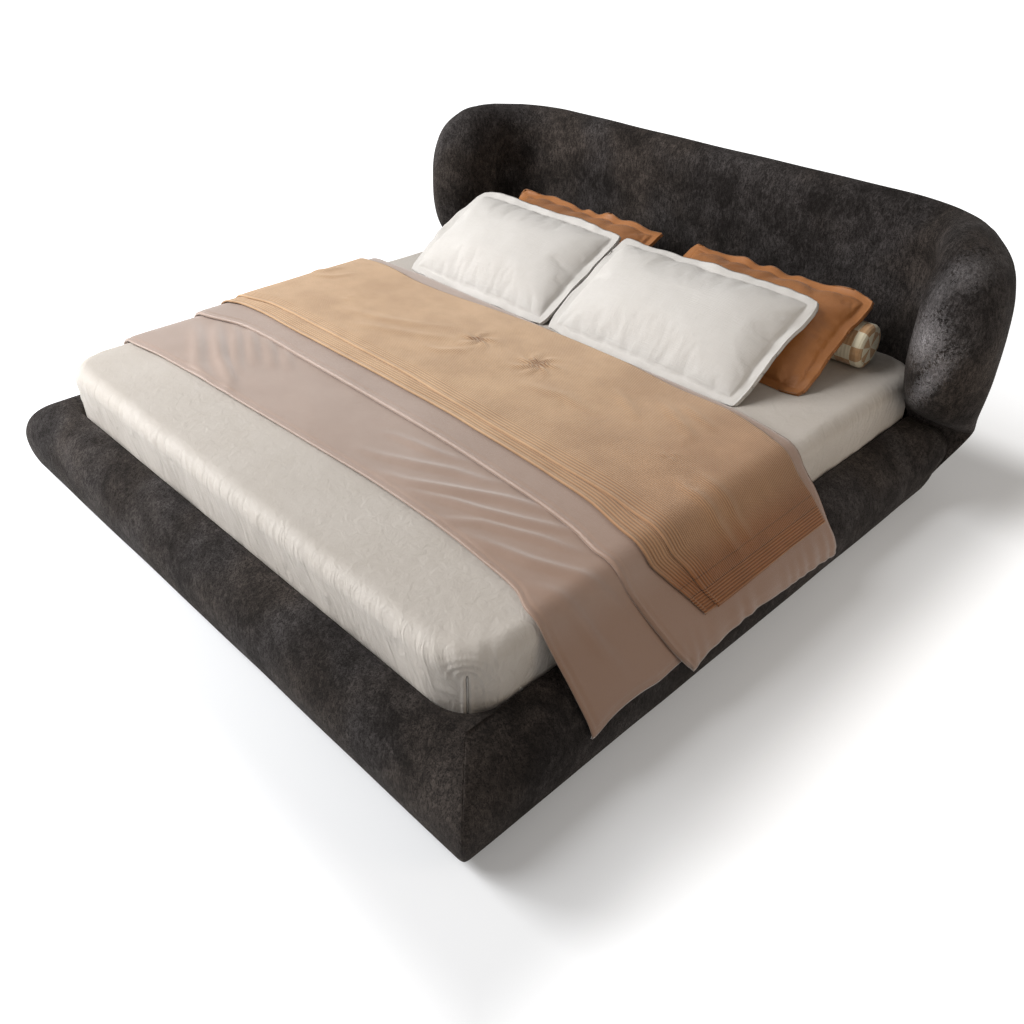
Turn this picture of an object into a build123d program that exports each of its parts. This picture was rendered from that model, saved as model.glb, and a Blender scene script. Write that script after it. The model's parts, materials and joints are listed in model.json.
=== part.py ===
import os
from math import acos, atan2, cos, hypot, pi, radians, sin, sqrt

from build123d import *

os.makedirs("parts", exist_ok=True)

# An upholstered king-size bed with a low bullnose frame, a padded wrap-round
# headboard, a slatted base, a mattress and its bedding. Sizes are millimetres.
# +Z is up, +Y points to the headboard, and the floor is at z = 0.

# Mattress
mattress_width = 1930.0
mattress_length = 2030.0
mattress_thickness = 230.0
mattress_base_height = 192.0
mattress_corner_radius = 139.0
mattress_edge_radius = 48.0
sheet_thickness = 1.2
ticking_thickness = 3.0
comfort_layer = 45.0
base_layer = 25.0
core_border = 60.0

# Upholstered rails
rail_bottom = 20.0
rail_depth = 130.0
rail_widest_height = 125.0
rail_crown_radius = 150.0
rail_belly_radius = 260.0
rail_top_rounding = 7.0
rail_bottom_rounding = 18.0
rail_gap = 3.0
rail_cover_thickness = 2.0
rail_cover_turn_in = 30.0
rail_board_thickness = 28.0
rail_board_top = 235.0
rail_end_gap = 2.2
corner_pad_reach = 84.0
corner_pad_gap = 1.5

# Headboard shell
headboard_height = 903.0
headboard_thickness = 134.0
headboard_gap = 6.0
headboard_half_width = 1206.0
headboard_cover_thickness = 3.0
headboard_seam_x = 780.0
back_corner_reach = 400.0
back_corner_top_reach = 300.0
cap_projection = 180.0
cap_flat_projection = 12.0
panel_corner_radius = 142.0
panel_foot_corner_radius = 85.0
crease_half_width = 945.0
back_tuck = 60.0
top_rounding = 46.0

# Headboard timber
panel_board_thickness = 18.0
panel_board_half_width = 760.0
panel_board_bottom = 40.0
panel_board_top = 840.0
panel_pad_thickness = 50.0
former_thickness = 22.0
former_margin = 52.0
former_corner_reach = 70.0
stile_size = 45.0
stile_inset = 17.0
mattress_clearance = 1.0

# Slatted base
ledge_width = 30.0
ledge_height = 30.0
beam_width = 60.0
beam_height = 60.0
slat_width = 63.0
slat_thickness = 12.0
slats_per_row = 14
slat_end_margin = 140.0
slat_centre_gap = 12.0
slat_side_gap = 4.0
holder_wall = 2.0
holder_clearance = 0.2
holder_grip = 40.0
seat_gap = 0.3

# Cross board, brackets and fasteners
cross_board_height = 140.0
bracket_leg = 60.0
bracket_screw_share = 0.6
bracket_height = 90.0
bracket_thickness = 3.0
bracket_bottom = 50.0
screw_diameter = 6.0
screw_length = 22.0
screw_head_diameter = 12.0
screw_head_height = 3.5
screw_clearance = 0.1
screw_spacing = 50.0
spacer_width = 90.0
spacer_height = 90.0
spacer_bottom = 55.0
spacer_x = 560.0
spacer_bolt_diameter = 10.0
spacer_bolt_head_diameter = 22.0
spacer_bolt_head_height = 7.0
hanger_thickness = 3.0
hanger_back_height = 85.0
hanger_seat_depth = 50.0

# Feet
glide_width = 44.0
glide_length = 70.0
glide_side_x_inset = 45.0
glides_per_side = 4
glides_at_foot = 3
glide_end_margin = 160.0
leg_size = 40.0
leg_wall = 2.0
leg_plate_width = 56.0
leg_plate_thickness = 4.0
leg_bottom_height = 26.0
leg_count = 3
leveller_stem_diameter = 12.0
leveller_pad_diameter = 46.0
leveller_pad_height = 10.0
leveller_clearance = 0.1
leveller_travel = 15.0
leveller_hex_sides = 6
insert_height = 24.0
leveller_stop_gap = 0.5
foot_rounding = 2.0

# Duvet and throw
duvet_thickness = 17.0
duvet_fold_gap = 1.0
duvet_foot_edge = 220.0
duvet_turned_edge = 545.0
duvet_head_edge = 1255.0
duvet_hem_angle = 20.0
duvet_turned_hem_angle = 14.0
throw_thickness = 5.0
throw_fold_gap = 0.5
throw_foot_edge = 600.0
throw_turned_edge = 662.0
throw_head_edge = 1205.0
throw_hem_drop = 45.0
cloth_gap = 0.3

# Pillows: width across the bed, length up the slope, crown and flange
white_pillow_crown = 66.0
white_pillow_underside = 34.0
tan_pillow_crown = 61.0
tan_pillow_underside = 30.0
pillow_side_draw = 16.0
pillow_case_thickness = 2.0
flange_thickness = 3.5
white_pillow_length = 485.0
white_pillow_width = 720.0
white_pillow_wide_width = 800.0
white_pillow_tilt = 29.0
white_pillow_flange = 38.0
tan_pillow_length = 454.0
tan_pillow_width = 715.0
tan_pillow_tilt = 28.4
tan_pillow_flange = 34.0
white_pillow_front = 1296.0
tan_pillow_front = 1500.0
white_left_x = -453.0
white_right_x = 310.0
tan_left_x = -395.0
tan_right_x = 445.0

# Bolster
bolster_radius = 72.0
bolster_length = 500.0
bolster_right_end = 835.0
bolster_y = 1842.0
bolster_end_rounding = 16.0
bolster_cover_thickness = 2.0

# Shares of an arc's bow: a quarter of a circle bows by 1 - 1/sqrt(2) of its radius
quarter_share = sqrt(0.5)

# Levels that follow from the sizes above
half_mattress = mattress_width / 2
rail_inner_x = half_mattress + rail_gap
bed_length = rail_depth + rail_gap + mattress_length + headboard_gap + headboard_thickness
rail_inner_y = -bed_length / 2 + rail_depth
mattress_foot_y = rail_inner_y + rail_gap
headboard_face_y = mattress_foot_y + mattress_length + headboard_gap
headboard_back_y = headboard_face_y + headboard_thickness
crease_y = headboard_face_y - panel_corner_radius
mattress_top = mattress_base_height + mattress_thickness
board_inner_x = rail_inner_x + rail_cover_thickness
board_inner_y = rail_inner_y - rail_cover_thickness
board_bottom = rail_bottom + rail_cover_thickness
rail_end_y = headboard_face_y - panel_foot_corner_radius - cap_flat_projection - rail_end_gap
holder_height = slat_thickness + 2 * (holder_wall + holder_clearance)
ledge_top = mattress_base_height - seat_gap - holder_height
cross_board_back_y = rail_end_y
cross_board_front_y = cross_board_back_y - rail_board_thickness
panel_board_front_y = headboard_face_y + panel_pad_thickness
beam_bottom = ledge_top - beam_height

foot_rail_plane = Plane(origin=(0, rail_inner_y, 0), x_dir=(0, -1, 0), z_dir=(-1, 0, 0))
side_rail_plane = Plane(origin=(rail_inner_x, rail_end_y, 0), x_dir=(1, 0, 0), z_dir=(0, -1, 0))
right_mitre = Plane(origin=(rail_inner_x, rail_inner_y, 0), z_dir=(1, 1, 0))
left_mitre = Plane(origin=(-rail_inner_x, rail_inner_y, 0), z_dir=(-1, 1, 0))
side_rail_length = rail_end_y - rail_inner_y + rail_depth
foot_rail_half_length = rail_inner_x + rail_depth


def save(piece, name):
    """Label a finished piece and write its STEP file."""
    piece.part.label = name
    export_step(piece.part, f"parts/{name}.step")


def save_pair(right_piece, name):
    """Write a right-hand piece and its mirror image on the left."""
    save(right_piece, f"{name}_right")
    with BuildPart() as left_piece:
        mirror(right_piece.part, about=Plane.YZ)
    save(left_piece, f"{name}_left")


# Rails: a bullnose section, drawn with its inner face at x = 0
def rail_section(plane, inset):
    """The rail's outline on a plane, drawn in from its outer face by inset."""
    crown = rail_crown_radius - inset
    belly = rail_belly_radius - inset
    crown_x = rail_depth - rail_crown_radius
    belly_x = rail_depth - rail_belly_radius
    top = rail_widest_height + sqrt(crown**2 - (inset - crown_x) ** 2)
    floor = rail_bottom + inset
    nose = rail_depth - inset
    toe = belly_x + sqrt(belly**2 - (rail_widest_height - floor) ** 2)
    with BuildSketch(plane) as section:
        with BuildLine():
            RadiusArc((inset, top), (nose, rail_widest_height), crown)
            RadiusArc((nose, rail_widest_height), (toe, floor), belly)
            Line((toe, floor), (inset, floor))
            Line((inset, floor), (inset, top))
        make_face()
        corners = section.vertices()
        fillet(corners.group_by(Axis.Y)[-1], radius=rail_top_rounding)
        fillet(section.vertices().group_by(Axis.Y)[0].sort_by(Axis.X)[-1], radius=rail_bottom_rounding)
    return section.sketch


def rail_box(plane, x_low, x_high, z_low, z_high):
    """A rectangle in the rail's section plane."""
    with BuildSketch(plane) as section:
        with Locations(((x_low + x_high) / 2, (z_low + z_high) / 2)):
            Rectangle(x_high - x_low, z_high - z_low)
    return section.sketch


board_rectangle = (
    rail_cover_thickness,
    rail_cover_thickness + rail_board_thickness,
    board_bottom,
    rail_board_top,
)
cover_window = (0, rail_cover_thickness, rail_bottom, rail_board_top - rail_cover_turn_in)


def side_screw_places():
    """Screw places in the corner brackets: y along the side board, z up."""
    heights = [
        bracket_bottom + bracket_height / 2 - screw_spacing / 2,
        bracket_bottom + bracket_height / 2 + screw_spacing / 2,
    ]
    reach = bracket_leg * bracket_screw_share
    return [(board_inner_y + reach, z) for z in heights] + [(cross_board_front_y - reach, z) for z in heights]


def cross_screw_places():
    """Screw places in the corner brackets: x along the cross boards, z up."""
    heights = [
        bracket_bottom + bracket_height / 2 - screw_spacing / 2,
        bracket_bottom + bracket_height / 2 + screw_spacing / 2,
    ]
    reach = bracket_leg * bracket_screw_share
    return [(side * (board_inner_x - reach), z) for side in (-1, 1) for z in heights]


def screw_bores(radius, depth):
    """Cylinders along every bracket screw, used for bores."""
    with BuildPart() as bores:
        for y, z in side_screw_places():
            for side in (-1, 1):
                with BuildSketch(Plane(origin=(side * board_inner_x, y, z), z_dir=(side, 0, 0))):
                    Circle(radius)
                extrude(amount=depth)
        for x, z in cross_screw_places():
            with BuildSketch(Plane(origin=(x, board_inner_y, z), z_dir=(0, -1, 0))):
                Circle(radius)
            extrude(amount=depth)
            with BuildSketch(Plane(origin=(x, cross_board_front_y, z), z_dir=(0, 1, 0))):
                Circle(radius)
            extrude(amount=depth)
    return bores.part


screw_holes = screw_bores(screw_diameter / 2 + screw_clearance, screw_length + screw_clearance)

# Foot rail: timber board, foam pad and fabric cover, mitred at both corners
with BuildPart() as foot_board:
    extrude(rail_box(foot_rail_plane, *board_rectangle), amount=foot_rail_half_length, both=True)
    split(bisect_by=right_mitre, keep=Keep.BOTTOM)
    split(bisect_by=left_mitre, keep=Keep.BOTTOM)
    add(screw_holes, mode=Mode.SUBTRACT)
save(foot_board, "rail_board_foot")

with BuildPart() as foot_pad:
    extrude(rail_section(foot_rail_plane, rail_cover_thickness), amount=foot_rail_half_length, both=True)
    extrude(rail_box(foot_rail_plane, *board_rectangle), amount=foot_rail_half_length, both=True, mode=Mode.SUBTRACT)
    split(bisect_by=right_mitre, keep=Keep.BOTTOM)
    split(bisect_by=left_mitre, keep=Keep.BOTTOM)
save(foot_pad, "rail_pad_foot")

with BuildPart() as foot_cover:
    extrude(rail_section(foot_rail_plane, 0), amount=foot_rail_half_length, both=True)
    extrude(rail_section(foot_rail_plane, rail_cover_thickness), amount=foot_rail_half_length, both=True, mode=Mode.SUBTRACT)
    extrude(rail_box(foot_rail_plane, *cover_window), amount=foot_rail_half_length, both=True, mode=Mode.SUBTRACT)
    split(bisect_by=right_mitre, keep=Keep.BOTTOM)
    split(bisect_by=left_mitre, keep=Keep.BOTTOM)
save(foot_cover, "rail_cover_foot")

# Side rails: the same section, mitred at the foot and square at the headboard
with BuildPart() as side_board:
    extrude(rail_box(side_rail_plane, *board_rectangle), amount=side_rail_length)
    split(bisect_by=right_mitre, keep=Keep.TOP)
    add(screw_holes, mode=Mode.SUBTRACT)
save_pair(side_board, "rail_board")

with BuildPart() as side_pad:
    extrude(rail_section(side_rail_plane, rail_cover_thickness), amount=side_rail_length)
    extrude(rail_box(side_rail_plane, *board_rectangle), amount=side_rail_length, mode=Mode.SUBTRACT)
    split(bisect_by=right_mitre, keep=Keep.TOP)
save_pair(side_pad, "rail_pad")

with BuildPart() as side_cover:
    extrude(rail_section(side_rail_plane, 0), amount=side_rail_length)
    extrude(rail_section(side_rail_plane, rail_cover_thickness), amount=side_rail_length, mode=Mode.SUBTRACT)
    extrude(rail_box(side_rail_plane, *cover_window), amount=side_rail_length, mode=Mode.SUBTRACT)
    split(bisect_by=right_mitre, keep=Keep.TOP)
save_pair(side_cover, "rail_cover")


def box_between(low, high):
    """A box from its lowest corner to its highest corner."""
    with BuildSketch(Plane.XY.offset(low[2])) as base:
        with Locations(((low[0] + high[0]) / 2, (low[1] + high[1]) / 2)):
            Rectangle(high[0] - low[0], high[1] - low[1])
    extrude(base.sketch, amount=high[2] - low[2])


def mattress_block(inset, low_z, high_z, edge_radius):
    """A rounded mattress layer, drawn in from the sheet's outer face."""
    with BuildSketch(Plane.XY.offset(low_z)) as outline:
        with Locations((0, mattress_foot_y + mattress_length / 2)):
            RectangleRounded(
                mattress_width - 2 * inset,
                mattress_length - 2 * inset,
                mattress_corner_radius - inset,
            )
    block = extrude(outline.sketch, amount=high_z - low_z)
    if edge_radius > 0:
        fillet(block.edges().group_by(Axis.Z)[-1], radius=edge_radius)


# Upholstered fills between the rails and the mattress's rounded foot corners
corner_pad_low = rail_board_top - rail_cover_turn_in
corner_pad_high = rail_widest_height + sqrt(rail_crown_radius**2 - (rail_crown_radius - rail_depth) ** 2) - rail_top_rounding

with BuildPart() as mattress_corners:
    mattress_block(-corner_pad_gap, corner_pad_low - corner_pad_gap, corner_pad_high + corner_pad_gap, 0)

with BuildPart() as corner_pads:
    for left, right in ((-rail_inner_x, -rail_inner_x + corner_pad_reach), (rail_inner_x - corner_pad_reach, rail_inner_x)):
        box_between((left, rail_inner_y, corner_pad_low), (right, rail_inner_y + corner_pad_reach, corner_pad_high))
    add(mattress_corners.part, mode=Mode.SUBTRACT)
save(corner_pads, "rail_corner_pads")


# Cross board between the side boards at the head end, with holes for the spacer bolts
spacer_bolt_z = spacer_bottom + spacer_height / 2
spacer_places = [-spacer_x, spacer_x]

with BuildPart() as cross_board:
    box_between(
        (-board_inner_x, cross_board_front_y, board_bottom),
        (board_inner_x, cross_board_back_y, board_bottom + cross_board_height),
    )
    for x in spacer_places:
        with BuildSketch(Plane(origin=(x, cross_board_front_y, spacer_bolt_z), z_dir=(0, 1, 0))):
            Circle(spacer_bolt_diameter / 2 + screw_clearance)
        extrude(amount=rail_board_thickness, mode=Mode.SUBTRACT)
    add(screw_holes, mode=Mode.SUBTRACT)
save(cross_board, "rail_board_head")


# Corner brackets and their screws
def bracket(corner_x, corner_y, along_y):
    """An angle bracket standing in the corner of two boards."""
    side = 1 if corner_x > 0 else -1
    inner_x = corner_x - side * bracket_leg
    inner_y = corner_y + along_y * bracket_leg
    thin_x = corner_x - side * bracket_thickness
    thin_y = corner_y + along_y * bracket_thickness
    low_z = bracket_bottom
    high_z = bracket_bottom + bracket_height
    box_between(
        (min(corner_x, thin_x), min(corner_y, inner_y), low_z),
        (max(corner_x, thin_x), max(corner_y, inner_y), high_z),
    )
    box_between(
        (min(corner_x, inner_x), min(corner_y, thin_y), low_z),
        (max(corner_x, inner_x), max(corner_y, thin_y), high_z),
    )


def screw(plane):
    """A pan-head screw that enters the plane along its normal, with its head on the bracket."""
    with BuildSketch(plane.offset(-bracket_thickness)) as shank:
        Circle(screw_diameter / 2)
    extrude(shank.sketch, amount=screw_length + bracket_thickness)
    with BuildSketch(plane.offset(-bracket_thickness)) as head:
        Circle(screw_head_diameter / 2)
    extrude(head.sketch, amount=-screw_head_height)


bracket_bores = screw_bores(screw_diameter / 2 + screw_clearance, -bracket_thickness)

with BuildPart() as corner_brackets:
    for side in (-1, 1):
        bracket(side * board_inner_x, board_inner_y, 1)
        bracket(side * board_inner_x, cross_board_front_y, -1)
    add(bracket_bores, mode=Mode.SUBTRACT)
save(corner_brackets, "corner_brackets")

with BuildPart() as bracket_screws:
    for y, z in side_screw_places():
        for side in (-1, 1):
            screw(Plane(origin=(side * board_inner_x, y, z), z_dir=(side, 0, 0)))
    for x, z in cross_screw_places():
        screw(Plane(origin=(x, board_inner_y, z), z_dir=(0, -1, 0)))
        screw(Plane(origin=(x, cross_board_front_y, z), z_dir=(0, 1, 0)))
save(bracket_screws, "bracket_screws")

# Ledges that carry the outer slat ends
with BuildPart() as ledge:
    box_between(
        (board_inner_x - ledge_width, board_inner_y, ledge_top - ledge_height),
        (board_inner_x, cross_board_front_y, ledge_top),
    )
save_pair(ledge, "slat_ledge")

# Centre beam, hung between the foot board and the cross board
beam_front_y = board_inner_y + hanger_thickness
beam_back_y = cross_board_front_y - hanger_thickness

with BuildPart() as centre_beam:
    box_between((-beam_width / 2, beam_front_y, beam_bottom), (beam_width / 2, beam_back_y, ledge_top))
save(centre_beam, "centre_beam")

with BuildPart() as beam_hangers:
    for wall_y, toward in ((board_inner_y, 1), (cross_board_front_y, -1)):
        back_y = wall_y + toward * hanger_thickness
        seat_y = wall_y + toward * hanger_seat_depth
        box_between(
            (-beam_width / 2, min(wall_y, back_y), ledge_top - hanger_back_height),
            (beam_width / 2, max(wall_y, back_y), ledge_top),
        )
        box_between(
            (-beam_width / 2, min(wall_y, seat_y), beam_bottom - hanger_thickness),
            (beam_width / 2, max(wall_y, seat_y), beam_bottom),
        )
save(beam_hangers, "beam_hangers")

# Two rows of slats in plastic holders
slat_inner_x = slat_centre_gap
slat_outer_x = board_inner_x - slat_side_gap
slat_bottom = ledge_top + holder_wall + holder_clearance
slat_pitch = (mattress_length - 2 * slat_end_margin) / (slats_per_row - 1)
slat_places = [mattress_foot_y + slat_end_margin + i * slat_pitch for i in range(slats_per_row)]

with BuildPart() as slat_row:
    for y in slat_places:
        box_between(
            (slat_inner_x, y - slat_width / 2, slat_bottom),
            (slat_outer_x, y + slat_width / 2, slat_bottom + slat_thickness),
        )
save_pair(slat_row, "slats")

holder_half = slat_width / 2 + holder_clearance + holder_wall
with BuildPart() as holder_row:
    for y in slat_places:
        for end_x, inward in ((slat_inner_x, 1), (slat_outer_x, -1)):
            shut_x = end_x - inward * (holder_wall + holder_clearance)
            open_x = end_x + inward * holder_grip
            box_between(
                (min(shut_x, open_x), y - holder_half, ledge_top),
                (max(shut_x, open_x), y + holder_half, ledge_top + holder_height),
            )
        with BuildSketch(Plane.XY.offset(slat_bottom - holder_clearance)):
            with Locations(((slat_inner_x + slat_outer_x) / 2, y)):
                Rectangle(
                    slat_outer_x - slat_inner_x + 2 * holder_clearance,
                    slat_width + 2 * holder_clearance,
                )
        extrude(amount=slat_thickness + 2 * holder_clearance, mode=Mode.SUBTRACT)
save_pair(holder_row, "slat_holders")

# Centre legs: square tube with a top plate, a threaded insert and a screw foot each
leg_pitch = (beam_back_y - beam_front_y) / (leg_count + 1)
leg_places = [beam_front_y + (i + 1) * leg_pitch for i in range(leg_count)]
leg_top = beam_bottom - leg_plate_thickness

with BuildPart() as centre_legs:
    for y in leg_places:
        with BuildSketch(Plane.XY.offset(leg_bottom_height)):
            with Locations((0, y)):
                Rectangle(leg_size, leg_size)
                Rectangle(leg_size - 2 * leg_wall, leg_size - 2 * leg_wall, mode=Mode.SUBTRACT)
        extrude(amount=leg_top - leg_bottom_height)
        with BuildSketch(Plane.XY.offset(leg_top)):
            with Locations((0, y)):
                Rectangle(leg_plate_width, leg_plate_width)
        extrude(amount=leg_plate_thickness)
save(centre_legs, "centre_legs")

with BuildPart() as leg_inserts:
    for y in leg_places:
        with BuildSketch(Plane.XY.offset(leg_bottom_height)):
            with Locations((0, y)):
                Rectangle(leg_size - 2 * leg_wall, leg_size - 2 * leg_wall)
                Circle(leveller_stem_diameter / 2 + leveller_clearance, mode=Mode.SUBTRACT)
        extrude(amount=insert_height)
save(leg_inserts, "leg_inserts")

leveller_names = ["foot", "middle", "head"]
for name, y in zip(leveller_names, leg_places):
    with BuildPart() as leveller:
        with BuildSketch():
            with Locations((0, y)):
                Circle(leveller_pad_diameter / 2)
        extrude(amount=leveller_pad_height)
        fillet(leveller.edges().group_by(Axis.Z)[-1], radius=foot_rounding)
        with BuildSketch(Plane.XY.offset(leveller_pad_height)):
            with Locations((0, y)):
                RegularPolygon(leveller_stem_diameter, leveller_hex_sides)
        extrude(amount=leg_bottom_height - leveller_stop_gap - leveller_pad_height)
        with BuildSketch(Plane.XY.offset(leveller_pad_height)):
            with Locations((0, y)):
                Circle(leveller_stem_diameter / 2)
        extrude(amount=leg_bottom_height + insert_height + leveller_travel - leveller_pad_height)
    save(leveller, f"screw_foot_{name}")

# Rail glides under the rails and the headboard
glide_span = rail_end_y - rail_inner_y - 2 * glide_end_margin
glide_side_places = [
    rail_inner_y + glide_end_margin + i * glide_span / (glides_per_side - 1) for i in range(glides_per_side)
]
glide_foot_places = [
    (i - (glides_at_foot - 1) / 2) * (rail_inner_x - glide_end_margin) for i in range(glides_at_foot)
]
headboard_glide_y = headboard_face_y + (headboard_thickness - back_tuck) / 2

with BuildPart() as glides:
    for y in glide_side_places:
        for side in (-1, 1):
            with BuildSketch():
                with Locations((side * (rail_inner_x + glide_side_x_inset), y)):
                    RectangleRounded(glide_width, glide_length, glide_width / 4)
            extrude(amount=rail_bottom)
    for x in glide_foot_places:
        with BuildSketch():
            with Locations((x, rail_inner_y - glide_side_x_inset)):
                RectangleRounded(glide_length, glide_width, glide_width / 4)
        extrude(amount=rail_bottom)
    for x in glide_foot_places:
        with BuildSketch():
            with Locations((x, headboard_glide_y)):
                RectangleRounded(glide_length, glide_width, glide_width / 4)
        extrude(amount=rail_bottom)
save(glides, "glides")


# Headboard: level sections of one padded shell that wraps round the mattress head.
# Each row gives, as shares: height, width outside the crease, corner radius, cap
# projection, crease width, back tuck and top rounding.
shell_level_shares = [
    (0.0, 0.467, 0.0, 0.0, 1.0, 0.95, 0.0),
    (0.119, 0.63, 0.0, 0.0, 1.0, 0.36, 0.0),
    (0.238, 0.807, 0.0, 0.0, 1.0, 0.08, 0.0),
    (0.292, 0.878, 0.0, 0.0, 1.0, 0.0, 0.0),
    (0.335, 0.914, 0.5, 0.18, 0.95, 0.0, 0.0),
    (0.375, 0.939, 0.85, 0.44, 0.85, 0.0, 0.0),
    (0.43, 0.97, 1.0, 0.72, 0.6, 0.0, 0.0),
    (0.544, 1.0, 1.0, 0.96, 0.13, 0.0, 0.0),
    (0.702, 0.98, 1.0, 1.0, 0.0, 0.0, 0.0),
    (0.827, 0.919, 1.0, 0.92, 0.0, 0.0, 0.0),
    (0.912, 0.797, 1.0, 0.74, 0.0, 0.03, 0.09),
    (0.96, 0.63, 1.0, 0.52, 0.0, 0.1, 0.3),
    (0.989, 0.477, 1.0, 0.28, 0.0, 0.17, 0.65),
    (1.0, 0.355, 1.0, 0.06, 0.0, 0.23, 1.0),
]
cap_peak_share = 0.58
cap_shoulder_share = 0.75
shell_sides = (1, -1)


def shell_section(level, inset):
    """One level section of the headboard shell, drawn in by inset all round."""
    height, width, corner, cap, crease, tuck, rounding = level
    z = rail_bottom + inset + height * (headboard_height - rail_bottom - 2 * inset)
    inward = inset + rounding * top_rounding
    outer_x = crease_half_width + width * (headboard_half_width - crease_half_width) - inset
    radius = panel_foot_corner_radius + corner * (panel_corner_radius - panel_foot_corner_radius)
    projection = cap_flat_projection + cap * (cap_projection - cap_flat_projection)
    crease_x = crease_half_width + crease * (rail_inner_x - crease_half_width) + inward
    face_y = headboard_face_y + inward
    back_y = headboard_back_y - tuck * back_tuck - inward
    seam_y = headboard_face_y - radius
    bow = radius + inward
    front_y = seam_y - projection + inset
    peak_x = crease_x + cap_peak_share * (outer_x - crease_x)
    shoulder_y = front_y + cap_shoulder_share * (seam_y - front_y)
    corner_reach = back_corner_reach + rounding * (back_corner_top_reach - back_corner_reach)
    corner_x = outer_x - corner_reach
    part_way = 1 - quarter_share
    with BuildSketch(Plane.XY.offset(z)) as section:
        with BuildLine():
            for side in shell_sides:
                start = (side * (crease_x - bow), face_y)
                middle = (side * (crease_x - bow * part_way), face_y - bow * part_way)
                crease_point = (side * crease_x, seam_y)
                ThreePointArc(start, middle, crease_point)
                rise_x = peak_x - (peak_x - crease_x) * quarter_share
                rise_y = seam_y - (seam_y - front_y) * quarter_share
                peak = (side * peak_x, front_y)
                ThreePointArc(crease_point, (side * rise_x, rise_y), peak)
                fall_x = peak_x + (outer_x - peak_x) * quarter_share
                fall_y = shoulder_y - (shoulder_y - front_y) * quarter_share
                shoulder = (side * outer_x, shoulder_y)
                ThreePointArc(peak, (side * fall_x, fall_y), shoulder)
                turn_x = corner_x + (outer_x - corner_x) * quarter_share
                turn_y = shoulder_y + (back_y - shoulder_y) * quarter_share
                ThreePointArc(shoulder, (side * turn_x, turn_y), (side * corner_x, back_y))
            Line((-(crease_x - bow), face_y), (crease_x - bow, face_y))
            Line((-corner_x, back_y), (corner_x, back_y))
        make_face()
    return section.sketch


def shell(inset):
    """The whole headboard shell as one closed solid, drawn in by inset."""
    room = mattress_clearance + inset
    with BuildPart() as body:
        loft([shell_section(level, inset) for level in shell_level_shares], ruled=True)
        add(mattress_room(room), mode=Mode.SUBTRACT)
    return body.part


def mattress_room(room):
    """The mattress's outer shape, grown all round, as a tool to cut the shell back."""
    with BuildPart() as space:
        mattress_block(-room, mattress_base_height - room, mattress_top + room, mattress_edge_radius + room)
    return space.part


outer_shell = shell(0)
inner_shell = shell(headboard_cover_thickness)

right_seam = Plane(origin=(headboard_seam_x, 0, 0), z_dir=(1, 0, 0))
left_seam = Plane(origin=(-headboard_seam_x, 0, 0), z_dir=(-1, 0, 0))
crease_plane = Plane(origin=(0, crease_y, 0), z_dir=(0, 1, 0))

# Timber spacers that join the headboard to the cross board, and their bolts
with BuildPart() as spacer_blanks:
    for x in spacer_places:
        box_between(
            (x - spacer_width / 2, cross_board_back_y, spacer_bottom),
            (x + spacer_width / 2, panel_board_front_y, spacer_bottom + spacer_height),
        )

with BuildPart() as spacers:
    add(spacer_blanks.part)
    for x in spacer_places:
        with BuildSketch(Plane(origin=(x, cross_board_back_y, spacer_bolt_z), z_dir=(0, 1, 0))):
            Circle(spacer_bolt_diameter / 2 + screw_clearance)
        extrude(amount=panel_board_front_y - cross_board_back_y, mode=Mode.SUBTRACT)
save(spacers, "headboard_spacers")

with BuildPart() as spacer_bolts:
    for x in spacer_places:
        with BuildSketch(Plane(origin=(x, cross_board_front_y, spacer_bolt_z), z_dir=(0, 1, 0))):
            Circle(spacer_bolt_diameter / 2)
        extrude(amount=panel_board_front_y + panel_board_thickness - cross_board_front_y)
        with BuildSketch(Plane(origin=(x, cross_board_front_y, spacer_bolt_z), z_dir=(0, -1, 0))):
            Circle(spacer_bolt_head_diameter / 2)
        extrude(amount=spacer_bolt_head_height)
save(spacer_bolts, "headboard_bolts")

# Plywood panel in the straight part of the headboard
with BuildPart() as panel_blank:
    box_between(
        (-panel_board_half_width, panel_board_front_y, panel_board_bottom),
        (panel_board_half_width, panel_board_front_y + panel_board_thickness, panel_board_top),
    )

with BuildPart() as panel_board:
    add(panel_blank.part)
    for x in spacer_places:
        with BuildSketch(Plane(origin=(x, panel_board_front_y, spacer_bolt_z), z_dir=(0, 1, 0))):
            Circle(spacer_bolt_diameter / 2 + screw_clearance)
        extrude(amount=panel_board_thickness, mode=Mode.SUBTRACT)
save(panel_board, "headboard_panel_board")

# Wing frames: three level formers on two upright stiles
former_level_shares = (0.43, 0.62, 0.82)
wing_stile_x = rail_inner_x + stile_inset
wing_stile_y = rail_end_y + stile_inset + rail_end_gap
former_top_z = former_level_shares[-1] * headboard_height
former_back_y = panel_board_front_y + panel_board_thickness

with BuildPart() as wing_frame:
    for share in former_level_shares:
        with BuildSketch(Plane.XY.offset(share * headboard_height)) as plate:
            with BuildLine():
                reach = headboard_half_width - former_margin - former_corner_reach
                back = former_back_y
                front = crease_y - former_corner_reach / 2
                inner = crease_half_width + former_margin
                face = panel_board_front_y
                Polyline(
                    (panel_board_half_width, face),
                    (inner, face),
                    (inner, front),
                    (reach, front),
                    (reach, face - former_corner_reach),
                    (inner, back),
                    (panel_board_half_width, back),
                    close=True,
                )
            make_face()
        extrude(amount=former_thickness)
    box_between(
        (wing_stile_x + former_margin, wing_stile_y, former_level_shares[0] * headboard_height),
        (wing_stile_x + former_margin + stile_size, wing_stile_y + stile_size, former_top_z),
    )
    box_between(
        (wing_stile_x, wing_stile_y, panel_board_bottom),
        (wing_stile_x + stile_size, wing_stile_y + stile_size, former_top_z),
    )
save_pair(wing_frame, "headboard_wing_frame")

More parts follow.
